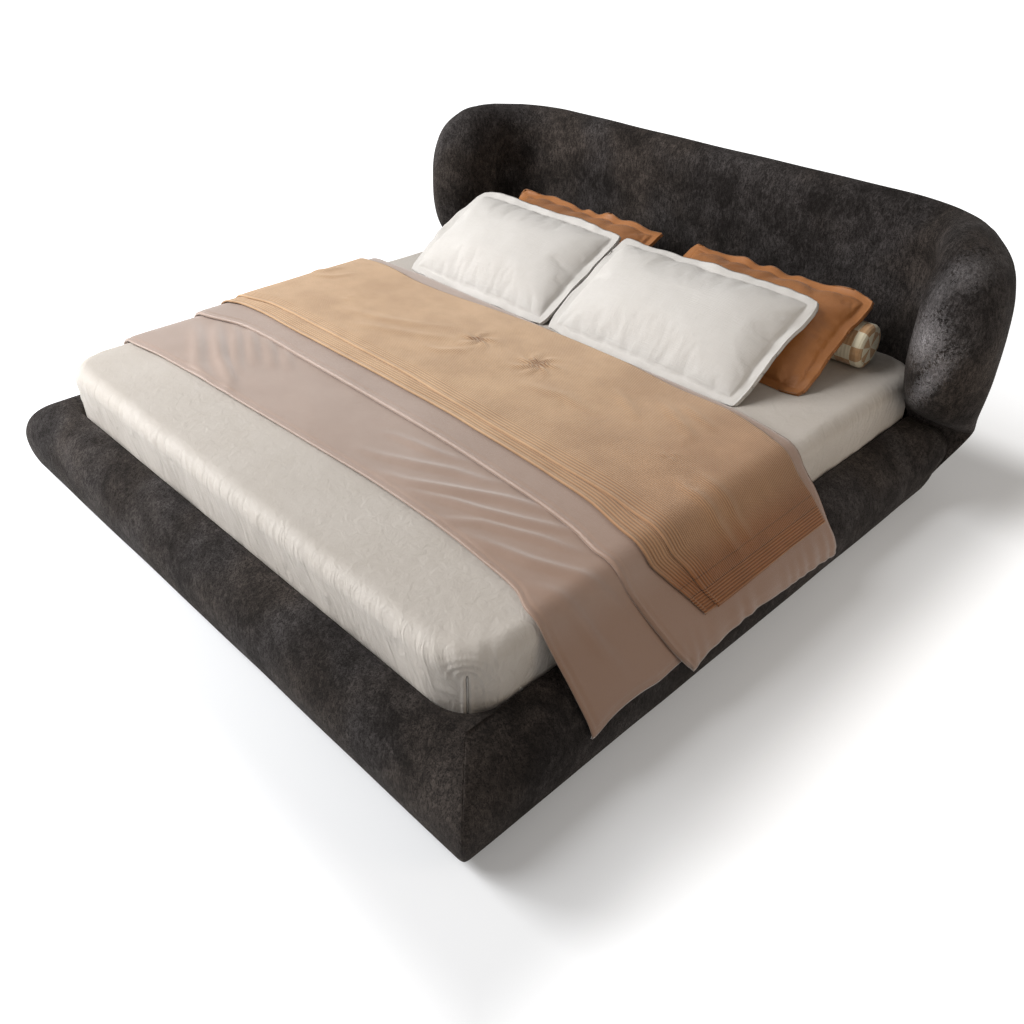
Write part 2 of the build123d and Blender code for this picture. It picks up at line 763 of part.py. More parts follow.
# Headboard padding
with BuildPart() as centre_pad:
    add(inner_shell)
    split(bisect_by=right_seam, keep=Keep.BOTTOM)
    split(bisect_by=left_seam, keep=Keep.BOTTOM)
    add(panel_blank.part, mode=Mode.SUBTRACT)
    add(spacer_blanks.part, mode=Mode.SUBTRACT)
    add(wing_frame.part, mode=Mode.SUBTRACT)
    add(mirror(wing_frame.part, about=Plane.YZ, mode=Mode.PRIVATE), mode=Mode.SUBTRACT)
save(centre_pad, "headboard_pad_centre")

with BuildPart() as wing_pad:
    add(inner_shell)
    split(bisect_by=right_seam, keep=Keep.TOP)
    add(wing_frame.part, mode=Mode.SUBTRACT)
save_pair(wing_pad, "headboard_pad")

# Headboard covers: the centre, a corner at each side and a sewn cap on each end
with BuildPart() as centre_cover:
    add(outer_shell)
    add(inner_shell, mode=Mode.SUBTRACT)
    split(bisect_by=right_seam, keep=Keep.BOTTOM)
    split(bisect_by=left_seam, keep=Keep.BOTTOM)
    add(spacer_blanks.part, mode=Mode.SUBTRACT)
save(centre_cover, "headboard_cover_centre")

with BuildPart() as corner_cover:
    add(outer_shell)
    add(inner_shell, mode=Mode.SUBTRACT)
    split(bisect_by=right_seam, keep=Keep.TOP)
    split(bisect_by=crease_plane, keep=Keep.TOP)
save_pair(corner_cover, "headboard_cover_corner")

with BuildPart() as cap_cover:
    add(outer_shell)
    add(inner_shell, mode=Mode.SUBTRACT)
    split(bisect_by=right_seam, keep=Keep.TOP)
    split(bisect_by=crease_plane, keep=Keep.BOTTOM)
save_pair(cap_cover, "headboard_cap")

# Mattress: layers inside a ticking, with a fitted sheet over it
sheet_top = mattress_top
ticking_top = sheet_top - sheet_thickness
layer_inset = sheet_thickness + ticking_thickness
layer_top = ticking_top - ticking_thickness
layer_bottom = mattress_base_height + ticking_thickness
core_bottom = layer_bottom + base_layer
core_top = layer_top - comfort_layer

with BuildPart() as bare_mattress:
    mattress_block(sheet_thickness, mattress_base_height, ticking_top, mattress_edge_radius - sheet_thickness)

with BuildPart() as fitted_sheet:
    mattress_block(0, mattress_base_height, sheet_top, mattress_edge_radius)
    add(bare_mattress.part, mode=Mode.SUBTRACT)
save(fitted_sheet, "fitted_sheet")

with BuildPart() as layers_inside:
    mattress_block(layer_inset, layer_bottom, layer_top, mattress_edge_radius - layer_inset)

with BuildPart() as ticking:
    add(bare_mattress.part)
    add(layers_inside.part, mode=Mode.SUBTRACT)
save(ticking, "mattress_ticking")

with BuildPart() as comfort_foam:
    add(layers_inside.part)
    split(bisect_by=Plane.XY.offset(core_top), keep=Keep.TOP)
save(comfort_foam, "mattress_comfort_foam")

with BuildPart() as base_foam:
    add(layers_inside.part)
    split(bisect_by=Plane.XY.offset(core_bottom), keep=Keep.BOTTOM)
save(base_foam, "mattress_base_foam")

with BuildPart() as spring_core:
    mattress_block(core_border, core_bottom, core_top, 0)
save(spring_core, "mattress_spring_core")

with BuildPart() as border_foam:
    mattress_block(layer_inset, core_bottom, core_top, 0)
    add(spring_core.part, mode=Mode.SUBTRACT)
save(border_foam, "mattress_border_foam")


# Bedding that hangs over the sides: level on the mattress, over its edge, down to the
# rail's crown. Both rounds are drawn round the same centres as the pieces below.
edge_centre = (half_mattress - mattress_edge_radius, mattress_top - mattress_edge_radius)
crown_centre = (rail_inner_x + rail_depth - rail_crown_radius, rail_widest_height)


def drape_angle():
    """Angle of the normal of the straight run that touches both rounds."""
    across = crown_centre[0] - edge_centre[0]
    down = edge_centre[1] - crown_centre[1]
    lean = atan2(down, across)
    return acos((mattress_edge_radius - rail_crown_radius) / hypot(across, down)) - lean


def hanging_section(plane, lift, thickness, hem_angle, hem_drop):
    """Half of a cloth's section: lift above the mattress and the rail, hem at an angle on
    the rail's crown or, with a hem drop, that far down the straight run."""
    slope = drape_angle()
    inner_edge = mattress_edge_radius + lift
    inner_crown = rail_crown_radius + lift

    def on_edge(extra, angle):
        radius = inner_edge + extra
        return (edge_centre[0] + radius * cos(angle), edge_centre[1] + radius * sin(angle))

    def on_crown(extra, angle):
        radius = inner_crown + extra
        return (crown_centre[0] + radius * cos(angle), crown_centre[1] + radius * sin(angle))

    half_way = (pi / 2 + slope) / 2
    level = mattress_top + lift
    with BuildSketch(plane) as section:
        with BuildLine():
            Line((0, level), on_edge(0, pi / 2))
            ThreePointArc(on_edge(0, pi / 2), on_edge(0, half_way), on_edge(0, slope))
            Line((0, level + thickness), on_edge(thickness, pi / 2))
            ThreePointArc(
                on_edge(thickness, pi / 2), on_edge(thickness, half_way), on_edge(thickness, slope)
            )
            if hem_drop > 0:
                along = (sin(slope) * hem_drop, -cos(slope) * hem_drop)
                inner_end = tuple(a + b for a, b in zip(on_edge(0, slope), along))
                outer_end = tuple(a + b for a, b in zip(on_edge(thickness, slope), along))
                Line(on_edge(0, slope), inner_end)
                Line(on_edge(thickness, slope), outer_end)
            else:
                hem = radians(hem_angle)
                middle = (slope + hem) / 2
                inner_end = on_crown(0, hem)
                outer_end = on_crown(thickness, hem)
                Line(on_edge(0, slope), on_crown(0, slope))
                Line(on_edge(thickness, slope), on_crown(thickness, slope))
                ThreePointArc(on_crown(0, slope), on_crown(0, middle), inner_end)
                ThreePointArc(on_crown(thickness, slope), on_crown(thickness, middle), outer_end)
            Line(inner_end, outer_end)
            Line((0, level), (0, level + thickness))
        make_face()
        mirror(about=Plane.YZ)
    return section.sketch


def cloth_plane(edge):
    """The section plane of a cloth edge, given from the mattress's foot end."""
    return Plane(origin=(0, mattress_foot_y + edge, 0), x_dir=(1, 0, 0), z_dir=(0, -1, 0))


duvet_lift = cloth_gap
turned_lift = duvet_lift + duvet_thickness + duvet_fold_gap
with BuildPart() as duvet:
    extrude(
        hanging_section(cloth_plane(duvet_head_edge), duvet_lift, duvet_thickness, duvet_hem_angle, 0),
        amount=duvet_head_edge - duvet_foot_edge,
    )
    extrude(
        hanging_section(cloth_plane(duvet_head_edge), turned_lift, duvet_thickness, duvet_turned_hem_angle, 0),
        amount=duvet_head_edge - duvet_turned_edge,
    )
    fold = 2 * duvet_thickness + duvet_fold_gap
    extrude(
        hanging_section(cloth_plane(duvet_head_edge), duvet_lift, fold, duvet_hem_angle, 0),
        amount=duvet_thickness,
    )
save(duvet, "duvet")

throw_lift = turned_lift + duvet_thickness + cloth_gap
throw_turned_lift = throw_lift + throw_thickness + throw_fold_gap
with BuildPart() as throw_blanket:
    extrude(
        hanging_section(cloth_plane(throw_head_edge), throw_lift, throw_thickness, 0, throw_hem_drop),
        amount=throw_head_edge - throw_foot_edge,
    )
    extrude(
        hanging_section(cloth_plane(throw_head_edge), throw_turned_lift, throw_thickness, 0, throw_hem_drop),
        amount=throw_head_edge - throw_turned_edge,
    )
    fold = 2 * throw_thickness + throw_fold_gap
    extrude(
        hanging_section(cloth_plane(throw_head_edge), throw_lift, fold, 0, throw_hem_drop),
        amount=2 * throw_thickness,
    )
save(throw_blanket, "throw_blanket")

# Pillows: a crowned cushion whose sides are drawn in between its four corners.
# Each row gives, as shares, the height in the crown and how far the outline draws in.
crown_level_shares = [(0.0, 0.0), (0.36, 0.07), (0.64, 0.17), (0.85, 0.31), (0.97, 0.5), (1.0, 0.66)]


def pillow_outline(plane, width, length, draw):
    """Four drawn-in sides between four corners."""
    half_w = width / 2
    half_l = length / 2
    with BuildSketch(plane) as outline:
        with BuildLine():
            ThreePointArc((-half_w, -half_l), (0, -half_l + draw), (half_w, -half_l))
            ThreePointArc((half_w, -half_l), (half_w - draw, 0), (half_w, half_l))
            ThreePointArc((half_w, half_l), (0, half_l - draw), (-half_w, half_l))
            ThreePointArc((-half_w, half_l), (-half_w + draw, 0), (-half_w, -half_l))
        make_face()
    return outline.sketch


def cushion(plane, width, length, crown, underside):
    """Two crowned halves that meet at the seam."""
    for height in (crown, -underside):
        sections = []
        for rise, draw_in in crown_level_shares:
            shrink = draw_in * length
            sections.append(
                pillow_outline(
                    plane.offset(rise * height),
                    width - shrink,
                    length - shrink,
                    pillow_side_draw * (1 - draw_in),
                )
            )
        loft(sections, ruled=True)


def pillow(name, centre_x, front, width, length, crown, underside, flange, tilt):
    """A pillow in its case, leaning back at a tilt from its front edge."""
    slope = radians(tilt)
    lift = cloth_gap + cos(slope) * flange_thickness / 2
    edge = (centre_x, mattress_foot_y + front, mattress_top + lift)
    centre = (
        edge[0],
        edge[1] + cos(slope) * length / 2,
        edge[2] + sin(slope) * length / 2,
    )
    plane = Plane(origin=centre, x_dir=(1, 0, 0), z_dir=(0, -sin(slope), cos(slope)))
    body_width = width - 2 * flange
    body_length = length - 2 * flange
    with BuildPart() as filling:
        cushion(
            plane,
            body_width - 2 * pillow_case_thickness,
            body_length - 2 * pillow_case_thickness,
            crown - pillow_case_thickness,
            underside - pillow_case_thickness,
        )
    save(filling, f"{name}_filling")
    with BuildPart() as case:
        cushion(plane, body_width, body_length, crown, underside)
        extrude(
            pillow_outline(plane.offset(-flange_thickness / 2), width, length, pillow_side_draw),
            amount=flange_thickness,
        )
        add(filling.part, mode=Mode.SUBTRACT)
    save(case, f"{name}_case")


pillow(
    "white_pillow_left",
    white_left_x,
    white_pillow_front,
    white_pillow_width,
    white_pillow_length,
    white_pillow_crown,
    white_pillow_underside,
    white_pillow_flange,
    white_pillow_tilt,
)
pillow(
    "white_pillow_right",
    white_right_x,
    white_pillow_front,
    white_pillow_wide_width,
    white_pillow_length,
    white_pillow_crown,
    white_pillow_underside,
    white_pillow_flange,
    white_pillow_tilt,
)
pillow(
    "tan_pillow_left",
    tan_left_x,
    tan_pillow_front,
    tan_pillow_width,
    tan_pillow_length,
    tan_pillow_crown,
    tan_pillow_underside,
    tan_pillow_flange,
    tan_pillow_tilt,
)
pillow(
    "tan_pillow_right",
    tan_right_x,
    tan_pillow_front,
    tan_pillow_width,
    tan_pillow_length,
    tan_pillow_crown,
    tan_pillow_underside,
    tan_pillow_flange,
    tan_pillow_tilt,
)

# Bolster lying across the mattress behind the right-hand pillows
bolster_z = mattress_top + cloth_gap + bolster_radius
bolster_plane = Plane(
    origin=(bolster_right_end - bolster_length, mattress_foot_y + bolster_y, bolster_z), z_dir=(1, 0, 0)
)
with BuildPart() as bolster_filling:
    with BuildSketch(bolster_plane.offset(bolster_cover_thickness)):
        Circle(bolster_radius - bolster_cover_thickness)
    extrude(amount=bolster_length - 2 * bolster_cover_thickness)
    fillet(bolster_filling.edges().filter_by(GeomType.CIRCLE), radius=bolster_end_rounding)
save(bolster_filling, "bolster_filling")

with BuildPart() as bolster_cover:
    with BuildSketch(bolster_plane):
        Circle(bolster_radius)
    extrude(amount=bolster_length)
    fillet(bolster_cover.edges().filter_by(GeomType.CIRCLE), radius=bolster_end_rounding)
    add(bolster_filling.part, mode=Mode.SUBTRACT)
save(bolster_cover, "bolster_cover")
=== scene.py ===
"""An upholstered bed with its mattress and bedding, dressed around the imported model.

Metres, +Z up, +Y towards the headboard, +X to the bed's right-hand side as seen from
its foot looking at the headboard.
"""
import json

import bpy
import numpy as np
from mathutils import Matrix


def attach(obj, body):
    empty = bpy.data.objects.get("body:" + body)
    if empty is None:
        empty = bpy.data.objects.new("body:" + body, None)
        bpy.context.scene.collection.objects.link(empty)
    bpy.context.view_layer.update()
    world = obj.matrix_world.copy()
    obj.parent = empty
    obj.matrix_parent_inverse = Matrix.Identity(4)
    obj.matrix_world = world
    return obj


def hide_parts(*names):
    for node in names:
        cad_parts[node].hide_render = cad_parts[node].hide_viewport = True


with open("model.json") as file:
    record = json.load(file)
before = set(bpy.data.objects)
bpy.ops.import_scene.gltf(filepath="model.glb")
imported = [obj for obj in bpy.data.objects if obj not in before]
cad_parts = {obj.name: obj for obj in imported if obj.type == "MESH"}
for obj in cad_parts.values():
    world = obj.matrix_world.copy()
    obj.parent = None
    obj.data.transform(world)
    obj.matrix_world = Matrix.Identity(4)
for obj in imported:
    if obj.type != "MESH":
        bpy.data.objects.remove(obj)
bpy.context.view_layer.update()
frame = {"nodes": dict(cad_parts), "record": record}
scene = bpy.context.scene
BED = "bed"

# Bed sizes
MATTRESS_HALF_WIDTH = 0.965
MATTRESS_FOOT = -1.0185
MATTRESS_LENGTH = 2.03
MATTRESS_MIDDLE = MATTRESS_FOOT + MATTRESS_LENGTH / 2
MATTRESS_BASE = 0.192
MATTRESS_TOP = 0.422
MATTRESS_CORNER = 0.139
MATTRESS_EDGE = 0.048
RAIL_INNER_X = 0.968
RAIL_INNER_Y = -1.0215
RAIL_HEAD_END = 0.9183
RAIL_DEPTH = 0.130
RAIL_CROWN = 0.150
RAIL_BELLY = 0.260
RAIL_WIDEST = 0.125


# Numpy helpers
def lattice_noise(points, size, seed):
    """Smooth noise from -1 to 1: random values on a cubic lattice of the given size, blended
    between each cell's eight corners by 3t^2 - 2t^3."""
    values = np.random.default_rng(seed).uniform(-1, 1, (32, 32, 32))
    place = np.asarray(points) / size
    cell = np.floor(place).astype(int)
    part = place - cell
    part = part * part * (3 - 2 * part)
    total = np.zeros(place.shape[:-1])
    for corner in np.ndindex(2, 2, 2):
        weight = np.ones(place.shape[:-1])
        for axis, side in enumerate(corner):
            weight = weight * (part[..., axis] if side else 1 - part[..., axis])
        at = [(cell[..., axis] + side) % 32 for axis, side in enumerate(corner)]
        total += weight * values[at[0], at[1], at[2]]
    return total


def rough_noise(points, size, seed, octaves=3):
    """Octaves of lattice noise, each half as large and half as strong as the last."""
    return sum(lattice_noise(points, size / 2**k, seed + k) / 2**k for k in range(octaves))


def smooth_table(at, knots, values):
    """A curve through a table of values, by cubic Hermite pieces whose slopes are the mean of
    their neighbours' and nought at a peak, so that it never overshoots."""
    knots = np.asarray(knots, float)
    values = np.asarray(values, float)
    step = np.diff(knots)
    rise = np.diff(values) / step
    slope = np.concatenate([rise[:1], (rise[1:] + rise[:-1]) / 2, rise[-1:]])
    slope[1:-1][rise[1:] * rise[:-1] <= 0] = 0
    at = np.clip(at, knots[0], knots[-1])
    k = np.clip(np.searchsorted(knots, at, side="right") - 1, 0, len(step) - 1)
    t = (at - knots[k]) / step[k]
    return (
        values[k] * (1 + 2 * t) * (1 - t) ** 2
        + slope[k] * step[k] * t * (1 - t) ** 2
        + values[k + 1] * t**2 * (3 - 2 * t)
        + slope[k + 1] * step[k] * t**2 * (t - 1)
    )


def bell(distance, width):
    """A rounded bump: exp(-(distance / width)^2)."""
    return np.exp(-((distance / width) ** 2))


def grid_quads(rows, cols, wrap=False):
    """Quads between the points of a grid that is stored row by row."""
    i = np.arange(rows - 1)[:, None]
    j = np.arange(cols if wrap else cols - 1)[None, :]
    right = (j + 1) % cols
    corners = [i * cols + j, i * cols + right, (i + 1) * cols + right, (i + 1) * cols + j]
    return np.stack([np.broadcast_to(c, (rows - 1, j.shape[1])) for c in corners], -1).reshape(-1, 4)


def raised(flat, heights):
    """A grid of x and y with one height for each row."""
    return np.concatenate([flat, np.broadcast_to(heights[:, None, None], flat.shape[:2] + (1,))], -1)


def arc(centre, radius, turn):
    """Points of a circle in the plane at the given angles."""
    return np.array(centre) + radius * np.stack([np.cos(turn), np.sin(turn)], -1)


def tube_faces(rows, cols, closed_start=True):
    """Faces of a tube of rings, closed by one face at its end and, if asked, at its start."""
    ends = [list(range(cols))[::-1], list(range((rows - 1) * cols, rows * cols))]
    return grid_quads(rows, cols, True).tolist() + ends[0 if closed_start else 1 :]


def grid_border(index):
    """The outline of a grid of point numbers, in order."""
    return np.concatenate([index[0, :], index[1:, -1], index[-1, -2::-1], index[-2:0:-1, 0]])


def grid_normals(points):
    """Unit normals of a grid: the cross product of its two central differences."""
    along = np.gradient(points, axis=1)
    across = np.gradient(points, axis=0)
    normal = np.cross(along, across)
    return normal / np.maximum(np.linalg.norm(normal, axis=-1, keepdims=True), 1e-9)


def new_piece(name, points, faces, uv=None):
    """A smooth-shaded mesh object from points, faces and an optional UV for each point."""
    points = np.asarray(points, float).reshape(-1, 3)
    mesh = bpy.data.meshes.new(name)
    mesh.from_pydata(points.tolist(), [], [list(map(int, f)) for f in faces])
    mesh.polygons.foreach_set("use_smooth", np.ones(len(mesh.polygons), bool))
    if uv is not None:
        corner = np.zeros(len(mesh.loops), np.int32)
        mesh.loops.foreach_get("vertex_index", corner)
        layer = mesh.uv_layers.new(name="surface")
        layer.data.foreach_set("uv", np.asarray(uv, np.float32).reshape(-1, 2)[corner].ravel())
    mesh.update()
    piece = bpy.data.objects.new(name, mesh)
    scene.collection.objects.link(piece)
    return piece


def dress(piece, finish, nodes=()):
    """Give a piece its material, its body and the CAD nodes it stands for."""
    piece.data.materials.append(finish)
    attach(piece, BED)
    if nodes:
        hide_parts(*nodes)
    return piece


def thick_sheet(name, outer, thickness, uv):
    """A closed sheet: an outer grid, the same grid moved in along its normals by a thickness
    for each point, and a rim of quads between the two borders."""
    rows, cols = outer.shape[:2]
    inner = outer - grid_normals(outer) * thickness[..., None]
    top = grid_quads(rows, cols)
    below = top[:, ::-1] + rows * cols
    index = np.arange(rows * cols).reshape(rows, cols)
    border = grid_border(index)
    after = np.roll(border, -1)
    rim = np.stack([border, border + rows * cols, after + rows * cols, after], -1)
    faces = np.concatenate([top, below, rim])
    points = np.concatenate([outer.reshape(-1, 3), inner.reshape(-1, 3)])
    return new_piece(name, points, faces, np.concatenate([uv.reshape(-1, 2)] * 2))


# Materials
class Wire:
    """A shader output that can stand in sums and products."""

    def __init__(self, finish, socket):
        self.finish = finish
        self.socket = socket

    def other(self, output):
        """Another output of the same node."""
        return Wire(self.finish, self.socket.node.outputs[output])

    def _with(self, operation, first, second):
        return self.finish.node("ShaderNodeMath", {"operation": operation}, {0: first, 1: second})

    def __add__(self, other):
        return self._with("ADD", self, other)

    def __sub__(self, other):
        return self._with("SUBTRACT", self, other)

    def __rsub__(self, other):
        return self._with("SUBTRACT", other, self)

    def __mul__(self, other):
        return self._with("MULTIPLY", self, other)

    __radd__ = __add__
    __rmul__ = __mul__


class Finish:
    """One material, or the world: a shader and the nodes that feed it."""

    def __init__(self, name, world=None, **constants):
        self.material = world or bpy.data.materials.new(name)
        self.material.use_nodes = True
        self.tree = self.material.node_tree
        self.shader = self.tree.nodes["Background" if world else "Principled BSDF"]
        for socket, value in constants.items():
            self.shader.inputs[socket.replace("_", " ")].default_value = value

    def node(self, kind, settings, inputs, output=0):
        """A node with its settings, its socket values or links, and the output that is used."""
        made = self.tree.nodes.new(kind)
        for key, value in settings.items():
            setattr(made, key, value)
        for key, value in inputs.items():
            if isinstance(value, Wire):
                self.tree.links.new(value.socket, made.inputs[key])
            else:
                made.inputs[key].default_value = value
        return Wire(self, made.outputs[output])

    def where(self, source="Object"):
        """The piece's coordinates."""
        return self.node("ShaderNodeTexCoord", {}, {}, source)

    def place(self, source="Object", stretch=(1, 1, 1), turn=(0, 0, 0)):
        """The piece's coordinates, stretched and turned."""
        values = {"Vector": self.where(source), "Scale": stretch, "Rotation": turn}
        return self.node("ShaderNodeMapping", {}, values)

    def noise(self, where, scale, detail=2.0, roughness=0.5, distortion=0.0):
        """Fractal noise of 0..1 at the given coordinates."""
        values = {
            "Vector": where,
            "Scale": scale,
            "Detail": detail,
            "Roughness": roughness,
            "Distortion": distortion,
        }
        return self.node("ShaderNodeTexNoise", {}, values, "Fac")

    def stretch(self, value, low, high, smooth=True):
        """Map low..high of a value to 0..1."""
        kind = "SMOOTHSTEP" if smooth else "LINEAR"
        values = {"Value": value, "From Min": low, "From Max": high}
        return self.node("ShaderNodeMapRange", {"interpolation_type": kind}, values)

    def mix(self, share, first, second):
        """Blend two colours by a share."""
        first, second = (c if isinstance(c, Wire) else (*c, 1) for c in (first, second))
        return self.node("ShaderNodeMix", {"data_type": "RGBA"}, {0: share, 6: first, 7: second}, 2)

    def wave(self, where, scale, direction):
        """Even sine bands across one direction."""
        settings = {"wave_type": "BANDS", "bands_direction": direction, "wave_profile": "SIN"}
        return self.node("ShaderNodeTexWave", settings, {"Vector": where, "Scale": scale}, "Fac")

    def bump(self, height, distance, strength=1.0, under=None):
        """A normal bumped by a height of 0..1 times a distance in metres."""
        values = {"Height": height, "Distance": distance, "Strength": strength}
        if under is not None:
            values["Normal"] = under
        return self.node("ShaderNodeBump", {}, values)

    def split(self, vector):
        """The three parts of a vector."""
        made = self.node("ShaderNodeSeparateXYZ", {}, {"Vector": vector})
        return [made.other(k) for k in range(3)]

    def join(self, x, y, z):
        """A vector from its three parts."""
        return self.node("ShaderNodeCombineXYZ", {}, {"X": x, "Y": y, "Z": z})

    def size(self, value):
        """A value without its sign."""
        return self.node("ShaderNodeMath", {"operation": "ABSOLUTE"}, {0: value})

    def larger(self, first, second):
        """The larger of two values."""
        return self.node("ShaderNodeMath", {"operation": "MAXIMUM"}, {0: first, 1: second})

    def near(self, value, middle, half):
        """1 within half of the middle, else 0."""
        return self.node("ShaderNodeMath", {"operation": "COMPARE"}, {0: value, 1: middle, 2: half})

    def painted_shade_share(self):
        """Painted shade: 1 where a piece hangs down the mattress's sides, 0 on top and a part of 1 towards the
        right-hand side, where the cloth lies in more shade and is painted deeper in colour."""
        x, _, z = self.split(self.where())
        return 1 - self.stretch(z, 0.33, 0.43) * (1 - self.stretch(x, 0.1, 1.1) * 0.58)

    def seen(self):
        """1 for rays from the camera and from mirrors, else 0."""
        path = self.node("ShaderNodeLightPath", {}, {}, "Is Camera Ray")
        return self.larger(path, path.other("Is Glossy Ray"))

    def feed(self, **links):
        """Link wires to the shader and return the material."""
        for socket, wire in links.items():
            self.tree.links.new(wire.socket, self.shader.inputs[socket.replace("_", " ")])
        return self.material


def velvet(name, seed, sheen_patches=()):
    """Crushed velvet: dark brown-grey pile with soft patches and fibrous streaks where it lies the other way.
    Its last argument lists patches of painted sheen, silvery where the brushed pile catches the light, as
    (centre, half size, turn, strength)."""
    tint = (0.62, 0.55, 0.5, 1)
    f = Finish(name, Sheen_Weight=0.06, Sheen_Roughness=0.35, Sheen_Tint=tint, Specular_IOR_Level=0.08)
    where = f.place(turn=(0.3 * seed, 0.2 * seed, 0.5 * seed))
    patches = f.stretch(f.noise(where, 4.2, 3, 0.55, 0.3), 0.36, 0.66)
    clouds = f.stretch(f.noise(where, 15, 6, 0.78, 0.6), 0.38, 0.66)
    fibres = f.stretch(f.noise(f.place(stretch=(1, 1, 0.38)), 120, 5, 0.85, 0.9), 0.4, 0.62)
    grain = f.stretch(f.noise(f.place(), 330, 3, 0.8), 0.38, 0.62)
    light = (patches * 0.3 + clouds * 0.42 + 0.22) * (fibres * 0.85 + grain * 0.55 + 0.1)
    warmth = f.stretch(f.noise(where, 3.1, 2), 0.4, 0.62)
    bright = f.mix(warmth, (0.088, 0.079, 0.078), (0.091, 0.075, 0.066))
    base = f.mix(f.stretch(light, 0.08, 1.1, False), (0.007, 0.0056, 0.005), bright)
    painted_sheen = 0.0
    speckle = f.stretch(f.noise(f.place(), 85, 4, 0.8, 0.3), 0.44, 0.6)
    # Painted sheen: silvery patches laid into the colour where the brushed pile catches the light
    for centre, half, turn, strength in sheen_patches:
        values = {"Vector": f.where(), "Location": centre, "Scale": half, "Rotation": turn}
        local = f.node("ShaderNodeMapping", {"vector_type": "TEXTURE"}, values)
        reach = f.node("ShaderNodeVectorMath", {"operation": "LENGTH"}, {0: local}, "Value")
        reach = reach + (speckle - 0.5) * 0.8 + (grain - 0.5) * 0.5
        painted_sheen = painted_sheen + (1 - f.stretch(reach, 0.3, 1.2)) * strength
    if sheen_patches:
        painted_sheen = f.stretch(painted_sheen * (speckle * 0.75 + fibres * 0.2 + 0.14), 0.0, 1.0, False)
        base = f.mix(painted_sheen, base, (0.4, 0.38, 0.39))
    height = fibres * 0.5 + f.noise(where, 70, 3) * 0.3 + grain * 0.2
    return f.feed(Base_Color=base, Roughness=0.9 - patches * 0.12, Normal=f.bump(height, 0.0016))


def cloth(name, colour, shadow, roughness, thread, sheen=0.25, weave=1.0, mottle=0.5, shade_tint=(1, 1, 1)):
    """Woven cloth: threads crossing along the piece's own UV map, with slubs and soft mottling.
    Its last argument multiplies the colour with painted shade where the cloth hangs down and, in part, towards
    the right."""
    f = Finish(name, Sheen_Weight=sheen, Sheen_Roughness=0.45, Specular_IOR_Level=0.3)
    warp = f.noise(f.place("UV", stretch=(1, 0.05, 1)), thread, 2, 0.6)
    weft = f.noise(f.place("UV", stretch=(0.05, 1, 1)), thread, 2, 0.6)
    slub = f.stretch(warp * 0.5 + weft * 0.5, 0.36, 0.64, False)
    soft = f.stretch(f.noise(f.place("UV"), 4.5, 4, 0.6), 0.3, 0.7)
    share = (slub * 0.45 + soft * mottle) * (1 / (0.45 + mottle))
    base = f.mix(share, shadow, colour)
    # Painted shade: the colour is multiplied down where the cloth hangs over the sides and towards the right
    if shade_tint != (1, 1, 1):
        base = f.mix(f.painted_shade_share(), base, tuple(c * d for c, d in zip(colour, shade_tint)))
    return f.feed(
        Base_Color=base,
        Roughness=roughness + (slub - 0.5) * 0.12,
        Normal=f.bump(slub, 0.0005 * weave),
    )


def sateen():
    """The fitted sheet: fine weave with soft wrinkles on top, slanting gathers down its sides and a slit down
    each corner painted near black as shade, where |x| and |y| differ by as much as the half sizes do."""
    f = Finish("sheet_sateen", Sheen_Weight=0.1, Sheen_Roughness=0.45, Specular_IOR_Level=0.3)
    weave = f.stretch(f.noise(f.place("UV", stretch=(1, 0.05, 1)), 900, 2, 0.6), 0.36, 0.64)
    x, y, z = f.split(f.where())
    slanted = f.join(x + z * 0.55, y - z * 0.25, z * 0.2)
    side = 1 - f.stretch(z, 0.39, 0.438)
    gathers = f.noise(slanted, 34, 3, 0.55, 0.7)
    wrinkles = f.noise(f.place(stretch=(0.5, 1.3, 1), turn=(0, 0, 0.5)), 9, 2, 0.35, 0.3)
    # Painted shade: the slit down each corner is coloured near black
    off = f.size(x) - f.size(y - MATTRESS_MIDDLE) - (MATTRESS_HALF_WIDTH - MATTRESS_LENGTH / 2)
    low = 1 - f.stretch(z, SEAM_TOP - 0.004, SEAM_TOP)
    slit = (1 - f.stretch(f.size(off), 0.0012, 0.004)) * low * f.stretch(f.size(x), 0.88, 0.89)
    soft = f.stretch(f.noise(f.place(), 4.5, 4, 0.6), 0.3, 0.7)
    plain = f.mix(soft * 0.6 + weave * 0.4, (0.47, 0.43, 0.385), (0.525, 0.487, 0.445))
    under = f.bump(weave, 0.0002)
    under = f.bump(gathers * side, 0.009, 1.0, under)
    return f.feed(
        Base_Color=f.mix(slit, plain, (0.05, 0.042, 0.036)),
        Roughness=0.55 + (weave - 0.5) * 0.12,
        Normal=f.bump(wrinkles, 0.0015, 1.0, under),
    )


